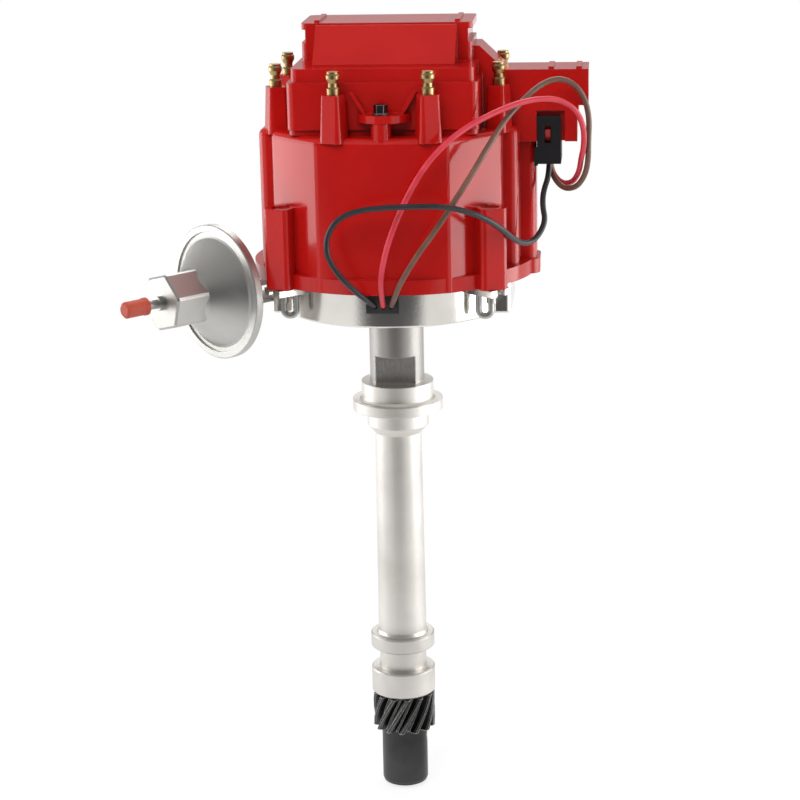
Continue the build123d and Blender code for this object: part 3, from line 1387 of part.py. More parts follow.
with BuildPart() as vacuum_spring:
    with BuildSketch(can_face(-can_rim_t + slip_gap + plate_t + 0.1)):
        Circle(9.0)
        Circle(8.0, mode=Mode.SUBTRACT)
    extrude(amount=can_neck_s - 1.4 + can_rim_t - slip_gap - plate_t - 0.2)
finish(vacuum_spring.part, "vacuum_spring")

# Bracket: flat foot screwed to the bowl's floor, turned up against the back of the can
foot_start = 10.5
bracket_end = can_reach + can_back_s
with BuildPart() as vacuum_bracket:
    with BuildSketch(Plane(can_point(0, bowl_z + bowl_floor_t), x_dir=can_dir, z_dir=(0, 0, 1))):
        with Locations(((foot_start + bracket_end) / 2, 0)):
            Rectangle(bracket_end - foot_start, bracket_w)
        with Locations(*[(s, 0) for s in bracket_screw_s]):
            Circle(screw_r, mode=Mode.SUBTRACT)
        with Locations((-can_point(0).dot(can_dir), -rod_offset), (-can_point(0).dot(can_dir), rod_offset)):
            Circle(hub_shoulder_r + 0.5, mode=Mode.SUBTRACT)
    extrude(amount=bracket_t)
    with BuildSketch(can_face(can_back_s - bracket_t)):
        Circle(can_back_r - 0.5)
        with Locations((0, (bowl_z + bowl_floor_t - can_z) / 2)):
            Rectangle(bracket_w, can_z - bowl_z - bowl_floor_t)
        Rectangle(rod_w + 3.0, rod_t + 3.0, mode=Mode.SUBTRACT)
    extrude(amount=bracket_t)
finish(vacuum_bracket.part, "vacuum_bracket")

floor_z = bowl_z + bowl_floor_t
with BuildPart() as bracket_screws:
    with BuildSketch(Plane.XY.offset(bowl_z + 0.3)):
        with Locations(*[(p.X, p.Y) for p in bracket_screw_places]):
            Circle(screw_r - 0.1)
    extrude(amount=floor_z + bracket_t - bowl_z - 0.3)
    with BuildSketch(Plane.XY.offset(floor_z + bracket_t)):
        with Locations(*[(p.X, p.Y) for p in bracket_screw_places]):
            RegularPolygon(3.3, 6)
    extrude(amount=2.6)
finish(bracket_screws.part, "bracket_screws")

# Ignition module: a crescent on the bowl's floor, right of the pickup
module_h = 9.0
with BuildPart() as ignition_module:
    with BuildSketch(module_plane.offset(floor_z)) as crescent:
        Circle(bowl_inner_r - 1.2)
        Circle(pickup_r + 2.0, mode=Mode.SUBTRACT)
        with Locations((module_r, 0)):
            Rectangle(bowl_inner_r, module_w, mode=Mode.INTERSECT)
        fillet(crescent.vertices(), 1.5)
        with Locations((module_r, module_screw_y), (module_r, -module_screw_y)):
            Circle(screw_r, mode=Mode.SUBTRACT)
    extrude(amount=module_h)
finish(ignition_module.part, "ignition_module")

with BuildPart() as module_screws:
    for side in (-1, 1):
        spot = module_plane.from_local_coords((module_r, side * module_screw_y, 0))
        with BuildSketch(Plane.XY.offset(bowl_z + 0.3)):
            with Locations((spot.X, spot.Y)):
                Circle(screw_r - 0.1)
        extrude(amount=floor_z + module_h - bowl_z - 0.3)
        with BuildSketch(Plane.XY.offset(floor_z + module_h)):
            with Locations((spot.X, spot.Y)):
                RegularPolygon(3.3, 6)
        extrude(amount=2.4)
finish(module_screws.part, "module_screws")

# Capacitor that damps radio noise, with its clip and screw
capacitor_r = 5.5
with BuildPart() as capacitor:
    with BuildSketch(Plane(origin=clip_plane.from_local_coords((clip_reach, -13, floor_z + capacitor_r + 0.9)),
                           z_dir=clip_plane.y_dir)):
        Circle(capacitor_r)
    extrude(amount=26)
    chamfer(capacitor.edges(), 0.7)
finish(capacitor.part, "capacitor")

with BuildPart() as capacitor_clip:
    with BuildSketch(clip_plane.offset(floor_z)):
        with Locations((clip_reach, -8.5)):
            Rectangle(2 * capacitor_r + 2.0, 8.0)
        with Locations((clip_reach, (clip_screw_y - 4.5) / 2)):
            Rectangle(8.0, -clip_screw_y - 4.5 + 8.0)
        with Locations((clip_reach, clip_screw_y)):
            Circle(screw_r, mode=Mode.SUBTRACT)
    extrude(amount=0.9)
    for side in (-1, 1):
        with BuildSketch(clip_plane.offset(floor_z)):
            with Locations((clip_reach + side * (capacitor_r + 0.5), -8.5)):
                Rectangle(1.0, 8.0)
        extrude(amount=capacitor_r + 0.9)
finish(capacitor_clip.part, "capacitor_clip")

with BuildPart() as clip_screws:
    with BuildSketch(Plane.XY.offset(bowl_z + 0.3)):
        with Locations((clip_screw.X, clip_screw.Y)):
            Circle(screw_r - 0.1)
    extrude(amount=floor_z + 0.9 - bowl_z - 0.3)
    with BuildSketch(Plane.XY.offset(floor_z + 0.9)):
        with Locations((clip_screw.X, clip_screw.Y)):
            RegularPolygon(3.3, 6)
    extrude(amount=2.4)
finish(clip_screws.part, "clip_screw")
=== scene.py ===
"""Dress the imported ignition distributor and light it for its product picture."""

import json
import logging
import math
from dataclasses import dataclass
from enum import Enum
from typing import Any, Iterable

import bmesh
import bpy
from mathutils import Matrix, Vector


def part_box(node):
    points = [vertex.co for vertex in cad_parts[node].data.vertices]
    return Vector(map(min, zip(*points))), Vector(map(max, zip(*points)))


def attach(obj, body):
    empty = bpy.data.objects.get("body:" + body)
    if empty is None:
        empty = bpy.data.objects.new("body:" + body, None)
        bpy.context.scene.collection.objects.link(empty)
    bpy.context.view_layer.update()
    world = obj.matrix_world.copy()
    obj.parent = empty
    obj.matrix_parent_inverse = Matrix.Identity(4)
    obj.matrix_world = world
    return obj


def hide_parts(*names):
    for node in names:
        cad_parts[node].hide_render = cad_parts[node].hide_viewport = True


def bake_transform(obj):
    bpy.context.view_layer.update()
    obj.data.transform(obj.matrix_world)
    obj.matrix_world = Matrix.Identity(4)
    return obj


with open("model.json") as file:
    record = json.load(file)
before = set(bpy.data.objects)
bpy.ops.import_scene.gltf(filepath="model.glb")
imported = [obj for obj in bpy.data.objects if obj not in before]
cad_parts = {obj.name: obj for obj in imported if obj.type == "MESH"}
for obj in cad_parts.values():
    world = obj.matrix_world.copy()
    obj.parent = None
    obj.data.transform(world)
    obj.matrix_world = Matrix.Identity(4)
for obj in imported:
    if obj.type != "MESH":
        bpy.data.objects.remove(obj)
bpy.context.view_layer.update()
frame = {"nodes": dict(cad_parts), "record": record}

log = logging.getLogger("distributor")
MM = 0.001


class Body(Enum):
    """The moving groups that new pieces ride on."""

    HOUSING = "body"
    LINK = "link"
    BRUSH = "brush"


# Shader maths


class Value:
    """A shader socket or number that overloads the arithmetic operators."""

    def __init__(self, tree: bpy.types.NodeTree, source: Any) -> None:
        """Wrap a socket or a plain number of one node tree."""
        self.tree = tree
        self.source = source

    def _math(self, operation: str, *terms: Any) -> "Value":
        """Add a Math node.

        Args:
            operation: The node's operation.
            terms: Values, sockets or numbers for its inputs.

        Returns:
            The node's result.
        """
        node = self.tree.nodes.new("ShaderNodeMath")
        node.operation = operation
        for socket, term in zip(node.inputs, terms):
            put(self.tree, socket, term)
        return Value(self.tree, node.outputs[0])

    def __add__(self, other: Any) -> "Value":
        """Add."""
        return self._math("ADD", self, other)

    __radd__ = __add__

    def __sub__(self, other: Any) -> "Value":
        """Subtract."""
        return self._math("SUBTRACT", self, other)

    def __rsub__(self, other: Any) -> "Value":
        """Subtract from a number."""
        return self._math("SUBTRACT", other, self)

    def __mul__(self, other: Any) -> "Value":
        """Multiply."""
        return self._math("MULTIPLY", self, other)

    __rmul__ = __mul__

    def clamped(self) -> "Value":
        """Keep the value between 0 and 1."""
        result = self._math("ADD", self, 0.0)
        result.source.node.use_clamp = True
        return result

    def above(self, limit: float, sharpness: float) -> "Value":
        """How far the value is past a limit, times a sharpness, kept between 0 and 1."""
        return ((self - limit) * sharpness).clamped()

    def below(self, limit: float, sharpness: float) -> "Value":
        """How far the value is short of a limit, times a sharpness, kept between 0 and 1."""
        return ((limit - self) * sharpness).clamped()


def put(tree: bpy.types.NodeTree, socket: bpy.types.NodeSocket, value: Any) -> None:
    """Link or set one socket.

    Args:
        tree: The tree that the socket is in.
        socket: The input socket.
        value: A Value, an output socket, a number, or a colour or vector.
    """
    if isinstance(value, Value):
        value = value.source
    if isinstance(value, bpy.types.NodeSocket):
        tree.links.new(value, socket)
    elif isinstance(value, (tuple, list)) and len(value) == 3 and len(socket.default_value) == 4:
        socket.default_value = (*value, 1.0)
    else:
        socket.default_value = value


class Shader:
    """One material's node tree, with its Principled shader."""

    def __init__(self, name: str) -> None:
        """Start a material of one name."""
        self.material = bpy.data.materials.new(name)
        self.material.use_nodes = True
        self.tree = self.material.node_tree
        self.surface = self.tree.nodes["Principled BSDF"]
        self.place = self.node("ShaderNodeTexCoord").outputs["Object"]

    def node(self, kind: str, settings: dict[str, Any] | None = None, **inputs: Any) -> bpy.types.Node:
        """Add any node.

        Args:
            kind: The node's type.
            settings: Properties to set first; "stops" gives a ramp's stops.
            inputs: Values or links, by input name with underscores for spaces.

        Returns:
            The node.
        """
        made = self.tree.nodes.new(kind)
        for key, value in (settings or {}).items():
            if key == "stops":
                ramp = made.color_ramp
                while len(ramp.elements) < len(value):
                    ramp.elements.new(0.5)
                for element, (position, colour) in zip(ramp.elements, value):
                    element.position = position
                    element.color = (*colour, 1.0)
            else:
                setattr(made, key, value)
        for key, value in inputs.items():
            put(self.tree, made.inputs[key.replace("_", " ")], value)
        return made

    def noise(self, scale: float, detail: float = 3.0,
              stretch: tuple[float, float, float] | None = None) -> Value:
        """Noise over the object's own coordinates.

        Args:
            scale: Cells per metre.
            detail: Octaves.
            stretch: Scale along each axis, for drawn or brushed grain.

        Returns:
            The noise's factor.
        """
        where: Any = self.place
        if stretch:
            where = self.node("ShaderNodeMapping", Vector=self.place, Scale=stretch).outputs[0]
        made = self.node("ShaderNodeTexNoise", Vector=where, Scale=scale, Detail=detail)
        return Value(self.tree, made.outputs["Fac"])

    def ramp(self, value: Value, *stops: tuple[float, tuple[float, float, float]]) -> bpy.types.NodeSocket:
        """Turn a value into a colour by a ramp of stops."""
        return self.node("ShaderNodeValToRGB", {"stops": stops}, Fac=value).outputs["Color"]

    def mix(self, factor: Value, first: Any, second: Any) -> bpy.types.NodeSocket:
        """Mix two colours by a factor."""
        made = self.tree.nodes.new("ShaderNodeMix")
        made.data_type = "RGBA"
        put(self.tree, made.inputs["Factor"], factor)
        put(self.tree, made.inputs[6], first)
        put(self.tree, made.inputs[7], second)
        return made.outputs[2]

    def level(self, axis: str = "Z") -> Value:
        """The object coordinate along one axis, in metres."""
        parts = self.node("ShaderNodeSeparateXYZ", Vector=self.place)
        return Value(self.tree, parts.outputs[axis])

    def worn_edges(self, radius: float) -> Value:
        """How far a rounded normal leaves the true one: high along edges only."""
        round_normal = self.node("ShaderNodeBevel", {"samples": 4}, Radius=radius).outputs[0]
        flat = self.node("ShaderNodeNewGeometry").outputs["Normal"]
        dot = self.node("ShaderNodeVectorMath", {"operation": "DOT_PRODUCT"})
        put(self.tree, dot.inputs[0], round_normal)
        put(self.tree, dot.inputs[1], flat)
        return ((1.0 - Value(self.tree, dot.outputs["Value"])) * 4.0).clamped()

    def relief(self, height: Value, depth: float, edge: float) -> None:
        """Drive the normal by a bump over edges that look rounded.

        Args:
            height: The bump's height from 0 to 1.
            depth: The bump's depth in metres.
            edge: The radius of the edges in metres.
        """
        rounded = self.node("ShaderNodeBevel", {"samples": 4}, Radius=edge).outputs[0]
        bump = self.node("ShaderNodeBump", Height=height, Distance=depth, Strength=1.0, Normal=rounded)
        put(self.tree, self.surface.inputs["Normal"], bump.outputs[0])

    def finish(self, **inputs: Any) -> bpy.types.Material:
        """Set the Principled shader's sockets and return the material."""
        for key, value in inputs.items():
            put(self.tree, self.surface.inputs[key.replace("_", " ")], value)
        return self.material


# Finishes

Colour = tuple[float, float, float]


@dataclass(frozen=True)
class MouldedPlastic:
    """Moulded plastic with faint flow marks, dust in the gloss and soft edges."""

    colour: Colour
    dark: Colour
    roughness: float = 0.2
    coat: float = 0.25
    edge: float = 0.0006
    gloss: float = 0.28

    def material(self, name: str) -> bpy.types.Material:
        """Make the material under a name."""
        shader = Shader(name)
        flow = shader.noise(28.0, 4.0)
        grain = shader.noise(900.0, 2.0)
        dust = (shader.noise(140.0, 6.0) * 1.6 - 0.55).clamped()
        shader.relief(flow * 0.7 + grain * 0.3, 0.00005, self.edge)
        return shader.finish(
            Base_Color=shader.ramp(flow, (0.3, self.dark), (0.7, self.colour)),
            Roughness=dust * 0.1 + self.roughness,
            Coat_Weight=self.coat, Coat_Roughness=0.05, Specular_IOR_Level=self.gloss)


@dataclass(frozen=True)
class SatinMetal:
    """Machined, cast or plated metal with fine grain, stains and bright edges."""

    colour: Colour
    dark: Colour
    roughness: float = 0.34
    grain: Colour = (400.0, 400.0, 400.0)
    depth: float = 0.00003
    edge: float = 0.0004
    wear: float = 0.0

    def material(self, name: str) -> bpy.types.Material:
        """Make the material under a name."""
        shader = Shader(name)
        stain = shader.noise(22.0, 5.0)
        grain = shader.noise(1.0, 3.0, self.grain)
        base = shader.ramp(stain, (0.34, self.dark), (0.62, self.colour))
        if self.wear:
            base = shader.mix(shader.worn_edges(0.0007) * self.wear, base, (0.72, 0.7, 0.66))
        shader.relief(grain, self.depth, self.edge)
        return shader.finish(
            Base_Color=base, Metallic=1.0,
            Roughness=stain * 0.16 + grain * 0.1 + (self.roughness - 0.13))


@dataclass(frozen=True)
class Rubber:
    """Soft rubber or insulation with a slight bloom."""

    colour: Colour
    bloom: Colour
    roughness: float = 0.55

    def material(self, name: str) -> bpy.types.Material:
        """Make the material under a name."""
        shader = Shader(name)
        bloom = shader.noise(120.0, 5.0)
        shader.relief(shader.noise(1500.0, 2.0), 0.00002, 0.0003)
        return shader.finish(
            Base_Color=shader.ramp(bloom, (0.35, self.colour), (0.75, self.bloom)),
            Roughness=bloom * 0.15 + self.roughness)


@dataclass(frozen=True)
class Housing:
    """Aluminium whose bowl is polished, and whose stem shows turning marks; the neck under the bowl is
    darkened with painted shade.
    """

    bright: Colour = (0.82, 0.79, 0.75)
    dull: Colour = (0.66, 0.63, 0.59)
    dark: Colour = (0.16, 0.155, 0.15)
    bowl_z: float = 0.0525
    neck_z: float = 0.0135
    rings_z: float = -0.112
    flat_y: float = -0.0088
    flat_low_z: float = 0.0141
    flat_high_z: float = 0.0281
    cut: float = 4000.0

    def material(self, name: str) -> bpy.types.Material:
        """Make the material under a name."""
        shader = Shader(name)
        height = shader.level()
        bowl = height.above(self.bowl_z, 900.0)
        foot = height.below(self.rings_z, 300.0)
        stain = shader.noise(30.0, 6.0)
        pits = shader.noise(700.0, 4.0)
        turned = shader.noise(1.0, 2.0, (6.0, 6.0, 2600.0))
        metal = shader.ramp(stain, (0.3, self.dull), (0.65, self.bright))
        metal = shader.mix(foot * 0.12, metal, self.dark)
        flat = (shader.level("Y").below(self.flat_y, self.cut) * height.above(self.flat_low_z, self.cut)
                * height.below(self.flat_high_z, self.cut))
        rasp = shader.noise(1.0, 4.0, (1500.0, 1500.0, 330.0))
        metal = shader.mix(flat * (0.5 - rasp * 0.6), metal, self.dark)
        # painted shade: the neck between neck_z and the bowl is mixed towards the dark colour, standing
        # for the shade under the bowl
        neck_painted_shade = (height.above(self.neck_z, 500.0) - bowl).clamped()
        metal = shader.mix(neck_painted_shade * 0.6, metal, self.dark)
        shader.relief(turned * (1.0 - bowl) + pits * 0.35 + flat * rasp * 5.0, 0.00006, 0.0005)
        return shader.finish(
            Base_Color=metal, Metallic=1.0,
            Roughness=(stain * 0.12 + 0.36) * (1.0 - bowl) + (stain * 0.08 + 0.13) * bowl)


FINISHES: dict[str, Any] = {
    "cap_red": MouldedPlastic((0.42, 0.007, 0.005), (0.36, 0.005, 0.004), 0.16),
    "black_plastic": MouldedPlastic((0.014, 0.014, 0.016), (0.010, 0.010, 0.011), 0.42, 0.0, 0.0004),
    "winding": MouldedPlastic((0.02, 0.017, 0.016), (0.012, 0.011, 0.011), 0.25, 0.2),
    "carbon": MouldedPlastic((0.02, 0.02, 0.022), (0.012, 0.012, 0.012), 0.5, 0.0, 0.0002),
    "magnet": MouldedPlastic((0.045, 0.042, 0.042), (0.03, 0.028, 0.028), 0.5, 0.0, 0.0003),
    "aluminium": Housing(),
    "brass": SatinMetal((0.52, 0.385, 0.18), (0.33, 0.23, 0.10), 0.36, (300.0, 300.0, 1600.0)),
    "bronze": SatinMetal((0.5, 0.31, 0.16), (0.34, 0.2, 0.1), 0.4),
    "steel": SatinMetal((0.6, 0.59, 0.57), (0.42, 0.41, 0.4), 0.3),
    "zinc": SatinMetal((0.58, 0.57, 0.545), (0.47, 0.46, 0.435), 0.44, depth=0.00002),
    "core_steel": SatinMetal((0.3, 0.29, 0.28), (0.18, 0.17, 0.17), 0.45, (20.0, 20.0, 2400.0), 0.0001),
    "black_steel": SatinMetal((0.075, 0.074, 0.076), (0.03, 0.03, 0.031), 0.38, wear=0.9, edge=0.0005),
    "black_rubber": Rubber((0.012, 0.012, 0.012), (0.025, 0.025, 0.025)),
    "red_rubber": Rubber((0.36, 0.045, 0.022), (0.42, 0.07, 0.04)),
    "lead_red": Rubber((0.50, 0.022, 0.04), (0.55, 0.04, 0.06), 0.3),
    "lead_brown": Rubber((0.11, 0.052, 0.034), (0.15, 0.075, 0.05), 0.3),
    "lead_black": Rubber((0.012, 0.012, 0.015), (0.022, 0.022, 0.027), 0.34),
}


def dress_nodes() -> dict[str, bpy.types.Material]:
    """Give every CAD node the finish of its material slot.

    Returns:
        The materials by slot.
    """
    made = {slot: finish.material(f"finish_{slot}") for slot, finish in FINISHES.items()}
    for part in frame["record"]["subparts"]:
        obj = frame["nodes"][part["node"]]
        obj.data.materials.clear()
        obj.data.materials.append(made[part["material_slot"]])
    return made


# Leads


@dataclass
class Lead:
    """A loose lead from the grommet to the connector."""

    name: str
    slot: str
    length: float
    route: list[tuple[float, float, float]]
    diameter: float = 2.7

    def build(self, material: bpy.types.Material) -> bpy.types.Object:
        """Args:
            material: The insulation's material.

        Returns:
            The curve object.
        """
        curve = bpy.data.curves.new(self.name, "CURVE")
        curve.dimensions = "3D"
        spline = curve.splines.new("NURBS")
        spline.points.add(len(self.route) - 1)
        for point, (x, y, z) in zip(spline.points, self.route):
            point.co = (x * MM, y * MM, z * MM, 1.0)
        spline.order_u = 3
        spline.use_endpoint_u = True
        spline.resolution_u = 12
        curve.bevel_depth = self.diameter / 2 * MM
        curve.bevel_resolution = 6
        curve.use_fill_caps = True
        curve.materials.append(material)
        lead = bpy.data.objects.new(f"{self.name}_wire", curve)
        bpy.context.scene.collection.objects.link(lead)
        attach(lead, Body.HOUSING.value)
        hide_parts(self.name)
        log.info("%s is %.0f mm long", self.name, self.length)
        return lead


LEADS = [
    Lead("lead_red", "lead_red", 232.5, [
        (-0.5, -56.5, 64.5), (-0.5, -62.3, 70.3), (-0.5, -66, 79.5), (2, -67, 91.5), (6.5, -66, 104.5),
        (13, -65.5, 118.5), (20.5, -66, 131), (29.5, -64.5, 141), (39.5, -58, 148), (50, -50, 152.5),
        (60.5, -43, 156), (70.5, -36, 157.5), (80.5, -30.5, 156.5), (88.5, -26.5, 151),
        (92, -24.5, 142.5), (92, -22, 133), (90.5, -16.5, 126), (89.7, -12.6, 119.5), (86.4, -6.4, 113),
        (80.5, 0.6, 111.6), (75.4, 5, 117.9), (75.4, 5, 126.3)]),
    Lead("lead_brown", "lead_brown", 233.5, [
        (3.5, -56.5, 64.5), (5.5, -62.3, 70.3), (9.5, -66, 79), (17, -67, 91), (26, -66, 103),
        (34, -64, 115), (42, -59.5, 127), (49, -52, 138.5), (56.5, -43, 149.5), (64.5, -35, 157),
        (72, -28, 163), (80.5, -23.5, 165.5), (88, -21.5, 162), (92.5, -20, 155), (94.5, -19, 145.5),
        (94, -18, 135), (94, -17, 126), (92.5, -14.5, 118), (88.2, -11.6, 111.5), (81.3, -6, 110.2),
        (75.4, 0, 117.8), (75.4, 0, 126.3)]),
    Lead("lead_black", "lead_black", 219.0, [
        (-4.5, -56.5, 64.5), (-8, -62.2, 68.8), (-13.5, -66, 74.5), (-20.5, -67.5, 82.5), (-25, -67.5, 91),
        (-24.5, -67.5, 100), (-19.5, -67.5, 107.5), (-11, -68.5, 111.5), (1.5, -71.5, 113.5),
        (14.5, -74, 114.5), (27, -73, 114.5), (37, -68, 112), (46.7, -63, 107.5), (54.2, -54.9, 101),
        (59.7, -43.5, 93.4), (64.5, -31, 88.3), (69.8, -24.8, 89.6), (74, -20.5, 97), (72.5, -18.5, 104),
        (72.6, -12.8, 110), (75.4, -5, 117.2), (75.4, -5, 126.3)]),
]


# Cover


@dataclass
class CoverFoot:
    """The rim under the coil cover that closes the gap above the cap's deck."""

    half_x: float = 43.9
    half_y: float = 44.9
    low: float = 142.45
    high: float = 145.05
    wall: float = 2.4
    corner: float = 4.0

    def build(self, material: bpy.types.Material) -> bpy.types.Object:
        """Make the rim from a bevelled box whose top and bottom are open.

        Args:
            material: The cap's red plastic.

        Returns:
            The rim's object.
        """
        shape = bmesh.new()
        bmesh.ops.create_cube(shape, size=1.0)
        size = Vector((2 * self.half_x, 2 * self.half_y, self.high - self.low)) * MM
        bmesh.ops.scale(shape, verts=shape.verts, vec=size)
        bmesh.ops.translate(shape, verts=shape.verts, vec=(0, 0, (self.low + self.high) / 2 * MM))
        upright = [e for e in shape.edges if abs((e.verts[0].co - e.verts[1].co).normalized().z) > 0.9]
        bmesh.ops.bevel(shape, geom=upright, offset=self.corner * MM, affect="EDGES", segments=5,
                        profile=0.5, material=-1)
        ends = [f for f in shape.faces if abs(f.normal.z) > 0.9]
        bmesh.ops.delete(shape, geom=ends, context="FACES_ONLY")
        bmesh.ops.solidify(shape, geom=shape.faces, thickness=self.wall * MM)
        bmesh.ops.recalc_face_normals(shape, faces=shape.faces)
        mesh = bpy.data.meshes.new("cover_foot")
        shape.to_mesh(mesh)
        shape.free()
        mesh.materials.append(material)
        foot = bpy.data.objects.new("cover_foot", mesh)
        bpy.context.scene.collection.objects.link(foot)
        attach(foot, Body.HOUSING.value)
        log.info("cover foot made")
        return foot


# Springs


@dataclass
class Coil:
    """One wound spring, from a start point along a direction."""

    start: Vector
    way: Vector
    length: float
    radius: float
    wire: float
    turns: float
    steps: int = 20

    def add_to(self, shape: bmesh.types.BMesh) -> None:
        """Wind the wire into a shared mesh.

        Args:
            shape: The mesh that takes the coil.
        """
        way = self.way.normalized()
        side = way.orthogonal().normalized()
        section = bmesh.ops.create_circle(shape, cap_ends=False, segments=8, radius=self.wire / 2)
        turn = Matrix((way, side, way.cross(side))).transposed().to_4x4()
        place = Matrix.Translation(self.start + way * self.wire / 2 + side * self.radius)
        bmesh.ops.transform(shape, verts=section["verts"], matrix=place @ turn)
        edges = list({edge for vert in section["verts"] for edge in vert.link_edges})
        count = int(self.turns * self.steps)
        bmesh.ops.spin(shape, geom=edges, cent=self.start, axis=way, steps=count, use_duplicate=False,
                       angle=math.tau * self.turns, dvec=way * (self.length - self.wire) / count)
        bmesh.ops.holes_fill(shape, edges=[e for e in shape.edges if e.is_boundary], sides=8)


@dataclass
class Springs:
    """All springs, wound where the CAD model has plain sleeves."""

    finish: bpy.types.Material
    can_turn: float = 227.5
    can_reach: float = 80.5
    rod_offset: float = 39.0
    can_z: float = 65.8
    vacuum_length: float = 12.5
    latch_inset: float = 4.0

    def wind(self, node: str, body: Body, coils: list[Coil], foot: Body | None = None) -> None:
        """Make one object of coils in place of a node.

        Args:
            node: The CAD node that the coils stand for.
            body: The body that they ride on, when no foot is given.
            coils: The springs.
            foot: If given, the coils are left unattached with their transform baked; which body it names
                is not used.
        """
        shape = bmesh.new()
        for coil in coils:
            coil.add_to(shape)
        bmesh.ops.recalc_face_normals(shape, faces=shape.faces)
        for face in shape.faces:
            face.smooth = True
        mesh = bpy.data.meshes.new(f"{node}_wound")
        shape.to_mesh(mesh)
        shape.free()
        mesh.materials.append(self.finish)
        piece = bpy.data.objects.new(f"{node}_wound", mesh)
        bpy.context.scene.collection.objects.link(piece)
        if foot:
            first = coils[0]
            tuple(first.start + first.way.normalized() * first.length)
            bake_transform(piece)
        else:
            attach(piece, body.value)
        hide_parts(node)
        log.info("%s: %d coils", node, len(coils))

    def build(self) -> None:
        """Wind the latch springs, the brush spring and the spring behind the diaphragm."""
        up = Vector((0, 0, 1))
        low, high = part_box("latch_springs")
        corners = [(x, y) for x in (low[0] + self.latch_inset * MM, high[0] - self.latch_inset * MM)
                   for y in (low[1] + self.latch_inset * MM, high[1] - self.latch_inset * MM)]
        self.wind("latch_springs", Body.HOUSING, [
            Coil(Vector((x, y, low[2])), up, high[2] - low[2], 3.3 * MM, 0.9 * MM, 4.0)
            for x, y in corners])
        low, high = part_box("brush_spring")
        self.wind("brush_spring", Body.HOUSING, [
            Coil(Vector((0, 0, low[2])), up, high[2] - low[2], 1.9 * MM, 0.45 * MM, 7.0)], Body.BRUSH)
        turn = math.radians(self.can_turn)
        way = Vector((math.cos(turn), math.sin(turn), 0))
        side = Vector((way.y, -way.x, 0))
        seat = (way * self.can_reach + side * self.rod_offset + up * self.can_z) * MM
        self.wind("vacuum_spring", Body.HOUSING, [
            Coil(seat, way, self.vacuum_length * MM, 8.45 * MM, 0.9 * MM, 5.0)], Body.LINK)


# Studio


@dataclass(frozen=True)
class SoftBox:
    """One area lamp aimed at the cap: place and size in metres, power in watts."""

    place: tuple[float, float, float]
    size: tuple[float, float]
    power: float
    mirrored: bool = True

    def hang(self, name: str) -> None:
        """Make the lamp.

        Args:
            name: The lamp's name.
        """
        data = bpy.data.lights.new(name, "AREA")
        data.shape = "RECTANGLE"
        data.size, data.size_y = self.size
        data.energy = self.power
        lamp = bpy.data.objects.new(name, data)
        lamp.visible_glossy = self.mirrored
        aim = Vector((0, 0, 0.06)) - Vector(self.place)
        turn = aim.to_track_quat("-Z", "Y").to_matrix().to_4x4()
        lamp.matrix_world = Matrix.Translation(self.place) @ turn
        bpy.context.scene.collection.objects.link(lamp)


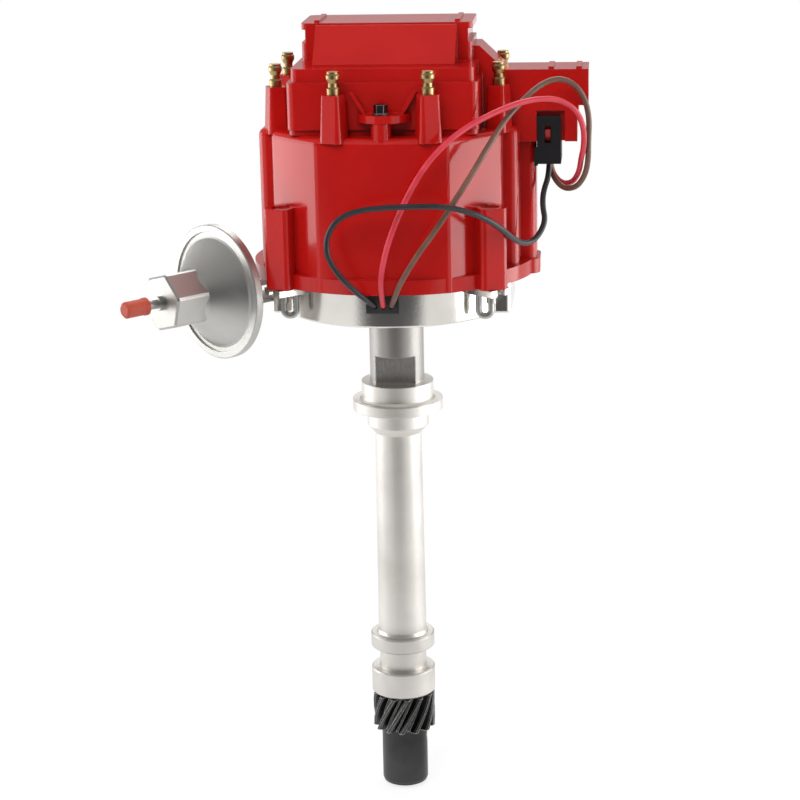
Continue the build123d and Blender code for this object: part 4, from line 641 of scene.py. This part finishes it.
@dataclass
class Studio:
    """White floor, soft boxes and the picture's camera."""

    lens: float = 103.14
    place: tuple[float, float, float] = (105.9, -1088.9, 306.8)
    yaw: float = 5.5
    pitch: float = 15.5
    roll: float = 1.2
    floor_z: float = -201.0
    lamps: tuple[SoftBox, ...] = (
        SoftBox((-1.0, 0.15, 0.16), (0.8, 0.7), 5.0),
        SoftBox((1.0, 0.05, 0.1), (0.9, 0.8), 9.0),
        SoftBox((-0.3, -0.8, 0.95), (1.0, 0.6), 12.5, mirrored=False),
        SoftBox((0.1, 0.9, 1.0), (1.2, 0.9), 9.0),
    )

    def camera(self) -> None:
        """Make the camera of the photograph's view."""
        yaw, pitch, roll = (math.radians(a) for a in (self.yaw, self.pitch, self.roll))
        right = Vector((math.cos(yaw), math.sin(yaw), 0.0))
        level = Vector((-math.sin(yaw), math.cos(yaw), 0.0))
        forward = level * math.cos(pitch) - Vector((0, 0, math.sin(pitch)))
        up = level * math.sin(pitch) + Vector((0, 0, math.cos(pitch)))
        across = right * math.cos(roll) - up * math.sin(roll)
        top = right * math.sin(roll) + up * math.cos(roll)
        data = bpy.data.cameras.new("camera")
        data.lens = self.lens
        data.sensor_width = 36.0
        camera = bpy.data.objects.new("camera", data)
        bpy.context.scene.collection.objects.link(camera)
        turn = Matrix((across, top, -forward)).transposed().to_4x4()
        camera.matrix_world = Matrix.Translation(Vector(self.place) * MM) @ turn
        bpy.context.scene.camera = camera

    def floor(self) -> None:
        """Lay a wide pale floor that stays white to the camera and keeps the shadow; to glossy rays it
        glows, with a painted dark reflection patch in front of the object.
        """
        shape = bmesh.new()
        bmesh.ops.create_grid(shape, x_segments=1, y_segments=1, size=12.0)
        bmesh.ops.translate(shape, verts=shape.verts, vec=(0, 0, self.floor_z * MM))
        mesh = bpy.data.meshes.new("floor")
        shape.to_mesh(mesh)
        shape.free()
        floor = bpy.data.objects.new("floor", mesh)
        bpy.context.scene.collection.objects.link(floor)
        shader = Shader("floor_white")
        shader.finish(Base_Color=(0.88, 0.88, 0.88), Roughness=0.9, Specular_IOR_Level=0.0)
        path = shader.node("ShaderNodeLightPath")
        reach = shader.node("ShaderNodeVectorMath", {"operation": "LENGTH"}, Vector=shader.place)
        away = Value(shader.tree, reach.outputs["Value"])
        seen = Value(shader.tree, path.outputs["Is Camera Ray"]) * ((away - 0.22) * 0.5 + 0.8).clamped()
        side, depth = shader.level("X"), shader.level("Y")
        # painted reflection: glossy rays see the floor as a white glow, except for a painted dark patch in
        # front of the object
        painted_dark_reflection = ((-0.15 - depth) * 3.0).clamped() * ((depth * depth * 0.5 - side * side) * 3.0).clamped()
        self.blend(shader, seen, shader.surface.outputs[0], 1.0)
        self.blend(shader, Value(shader.tree, path.outputs["Is Glossy Ray"]), None, 1.0 - painted_dark_reflection * 0.92)
        mesh.materials.append(shader.material)

    def blend(self, shader: Shader, share: Value, under: Any, glow: Any) -> None:
        """Mix a white glow into the floor's surface.

        Args:
            shader: The floor's material.
            share: How much of the glow shows.
            under: The shader below it, or None for what the output holds.
            glow: How bright the glow is.
        """
        out = shader.tree.nodes["Material Output"].inputs["Surface"]
        colour = glow if isinstance(glow, Value) else (glow,) * 3
        light = shader.node("ShaderNodeEmission", Strength=1.0, Color=colour)
        mixed = shader.node("ShaderNodeMixShader")
        put(shader.tree, mixed.inputs[0], share)
        put(shader.tree, mixed.inputs[1], under or out.links[0].from_socket)
        put(shader.tree, mixed.inputs[2], light.outputs[0])
        put(shader.tree, out, mixed.outputs[0])

    def world(self) -> None:
        """Set a soft sky that shows white to the camera and is dark in front of the object."""
        world = bpy.data.worlds.new("studio")
        world.use_nodes = True
        tree = world.node_tree
        sky = tree.nodes["Background"]
        path = tree.nodes.new("ShaderNodeLightPath")
        seen = Value(tree, path.outputs["Is Camera Ray"])
        axes = tree.nodes.new("ShaderNodeSeparateXYZ")
        put(tree, axes.inputs[0], tree.nodes.new("ShaderNodeTexCoord").outputs["Generated"])
        ahead = ((-0.45 - Value(tree, axes.outputs["Y"])) * 3.0).clamped()
        low = ((0.55 - Value(tree, axes.outputs["Z"])) * 3.0).clamped()
        lit = 0.45 - ahead * low * 0.37
        put(tree, sky.inputs["Color"], (seen + lit).clamped())
        bpy.context.scene.world = world

    def lights(self) -> None:
        """Hang the soft boxes, each aimed at the cap."""
        for number, lamp in enumerate(self.lamps, start=1):
            lamp.hang(f"soft_box_{number}")

    def build(self) -> None:
        """Set up the whole studio."""
        bpy.context.scene.view_settings.view_transform = "Standard"
        self.camera()
        self.floor()
        self.world()
        self.lights()
        log.info("studio ready")


def main() -> None:
    """Build the studio, the leads and the finishes."""
    logging.basicConfig(level=logging.INFO)
    Studio().build()
    finishes = dress_nodes()
    for lead in LEADS:
        lead.build(finishes[lead.slot])
    CoverFoot().build(finishes["cap_red"])
    Springs(finishes["steel"]).build()


if __name__ == "__main__":
    main()
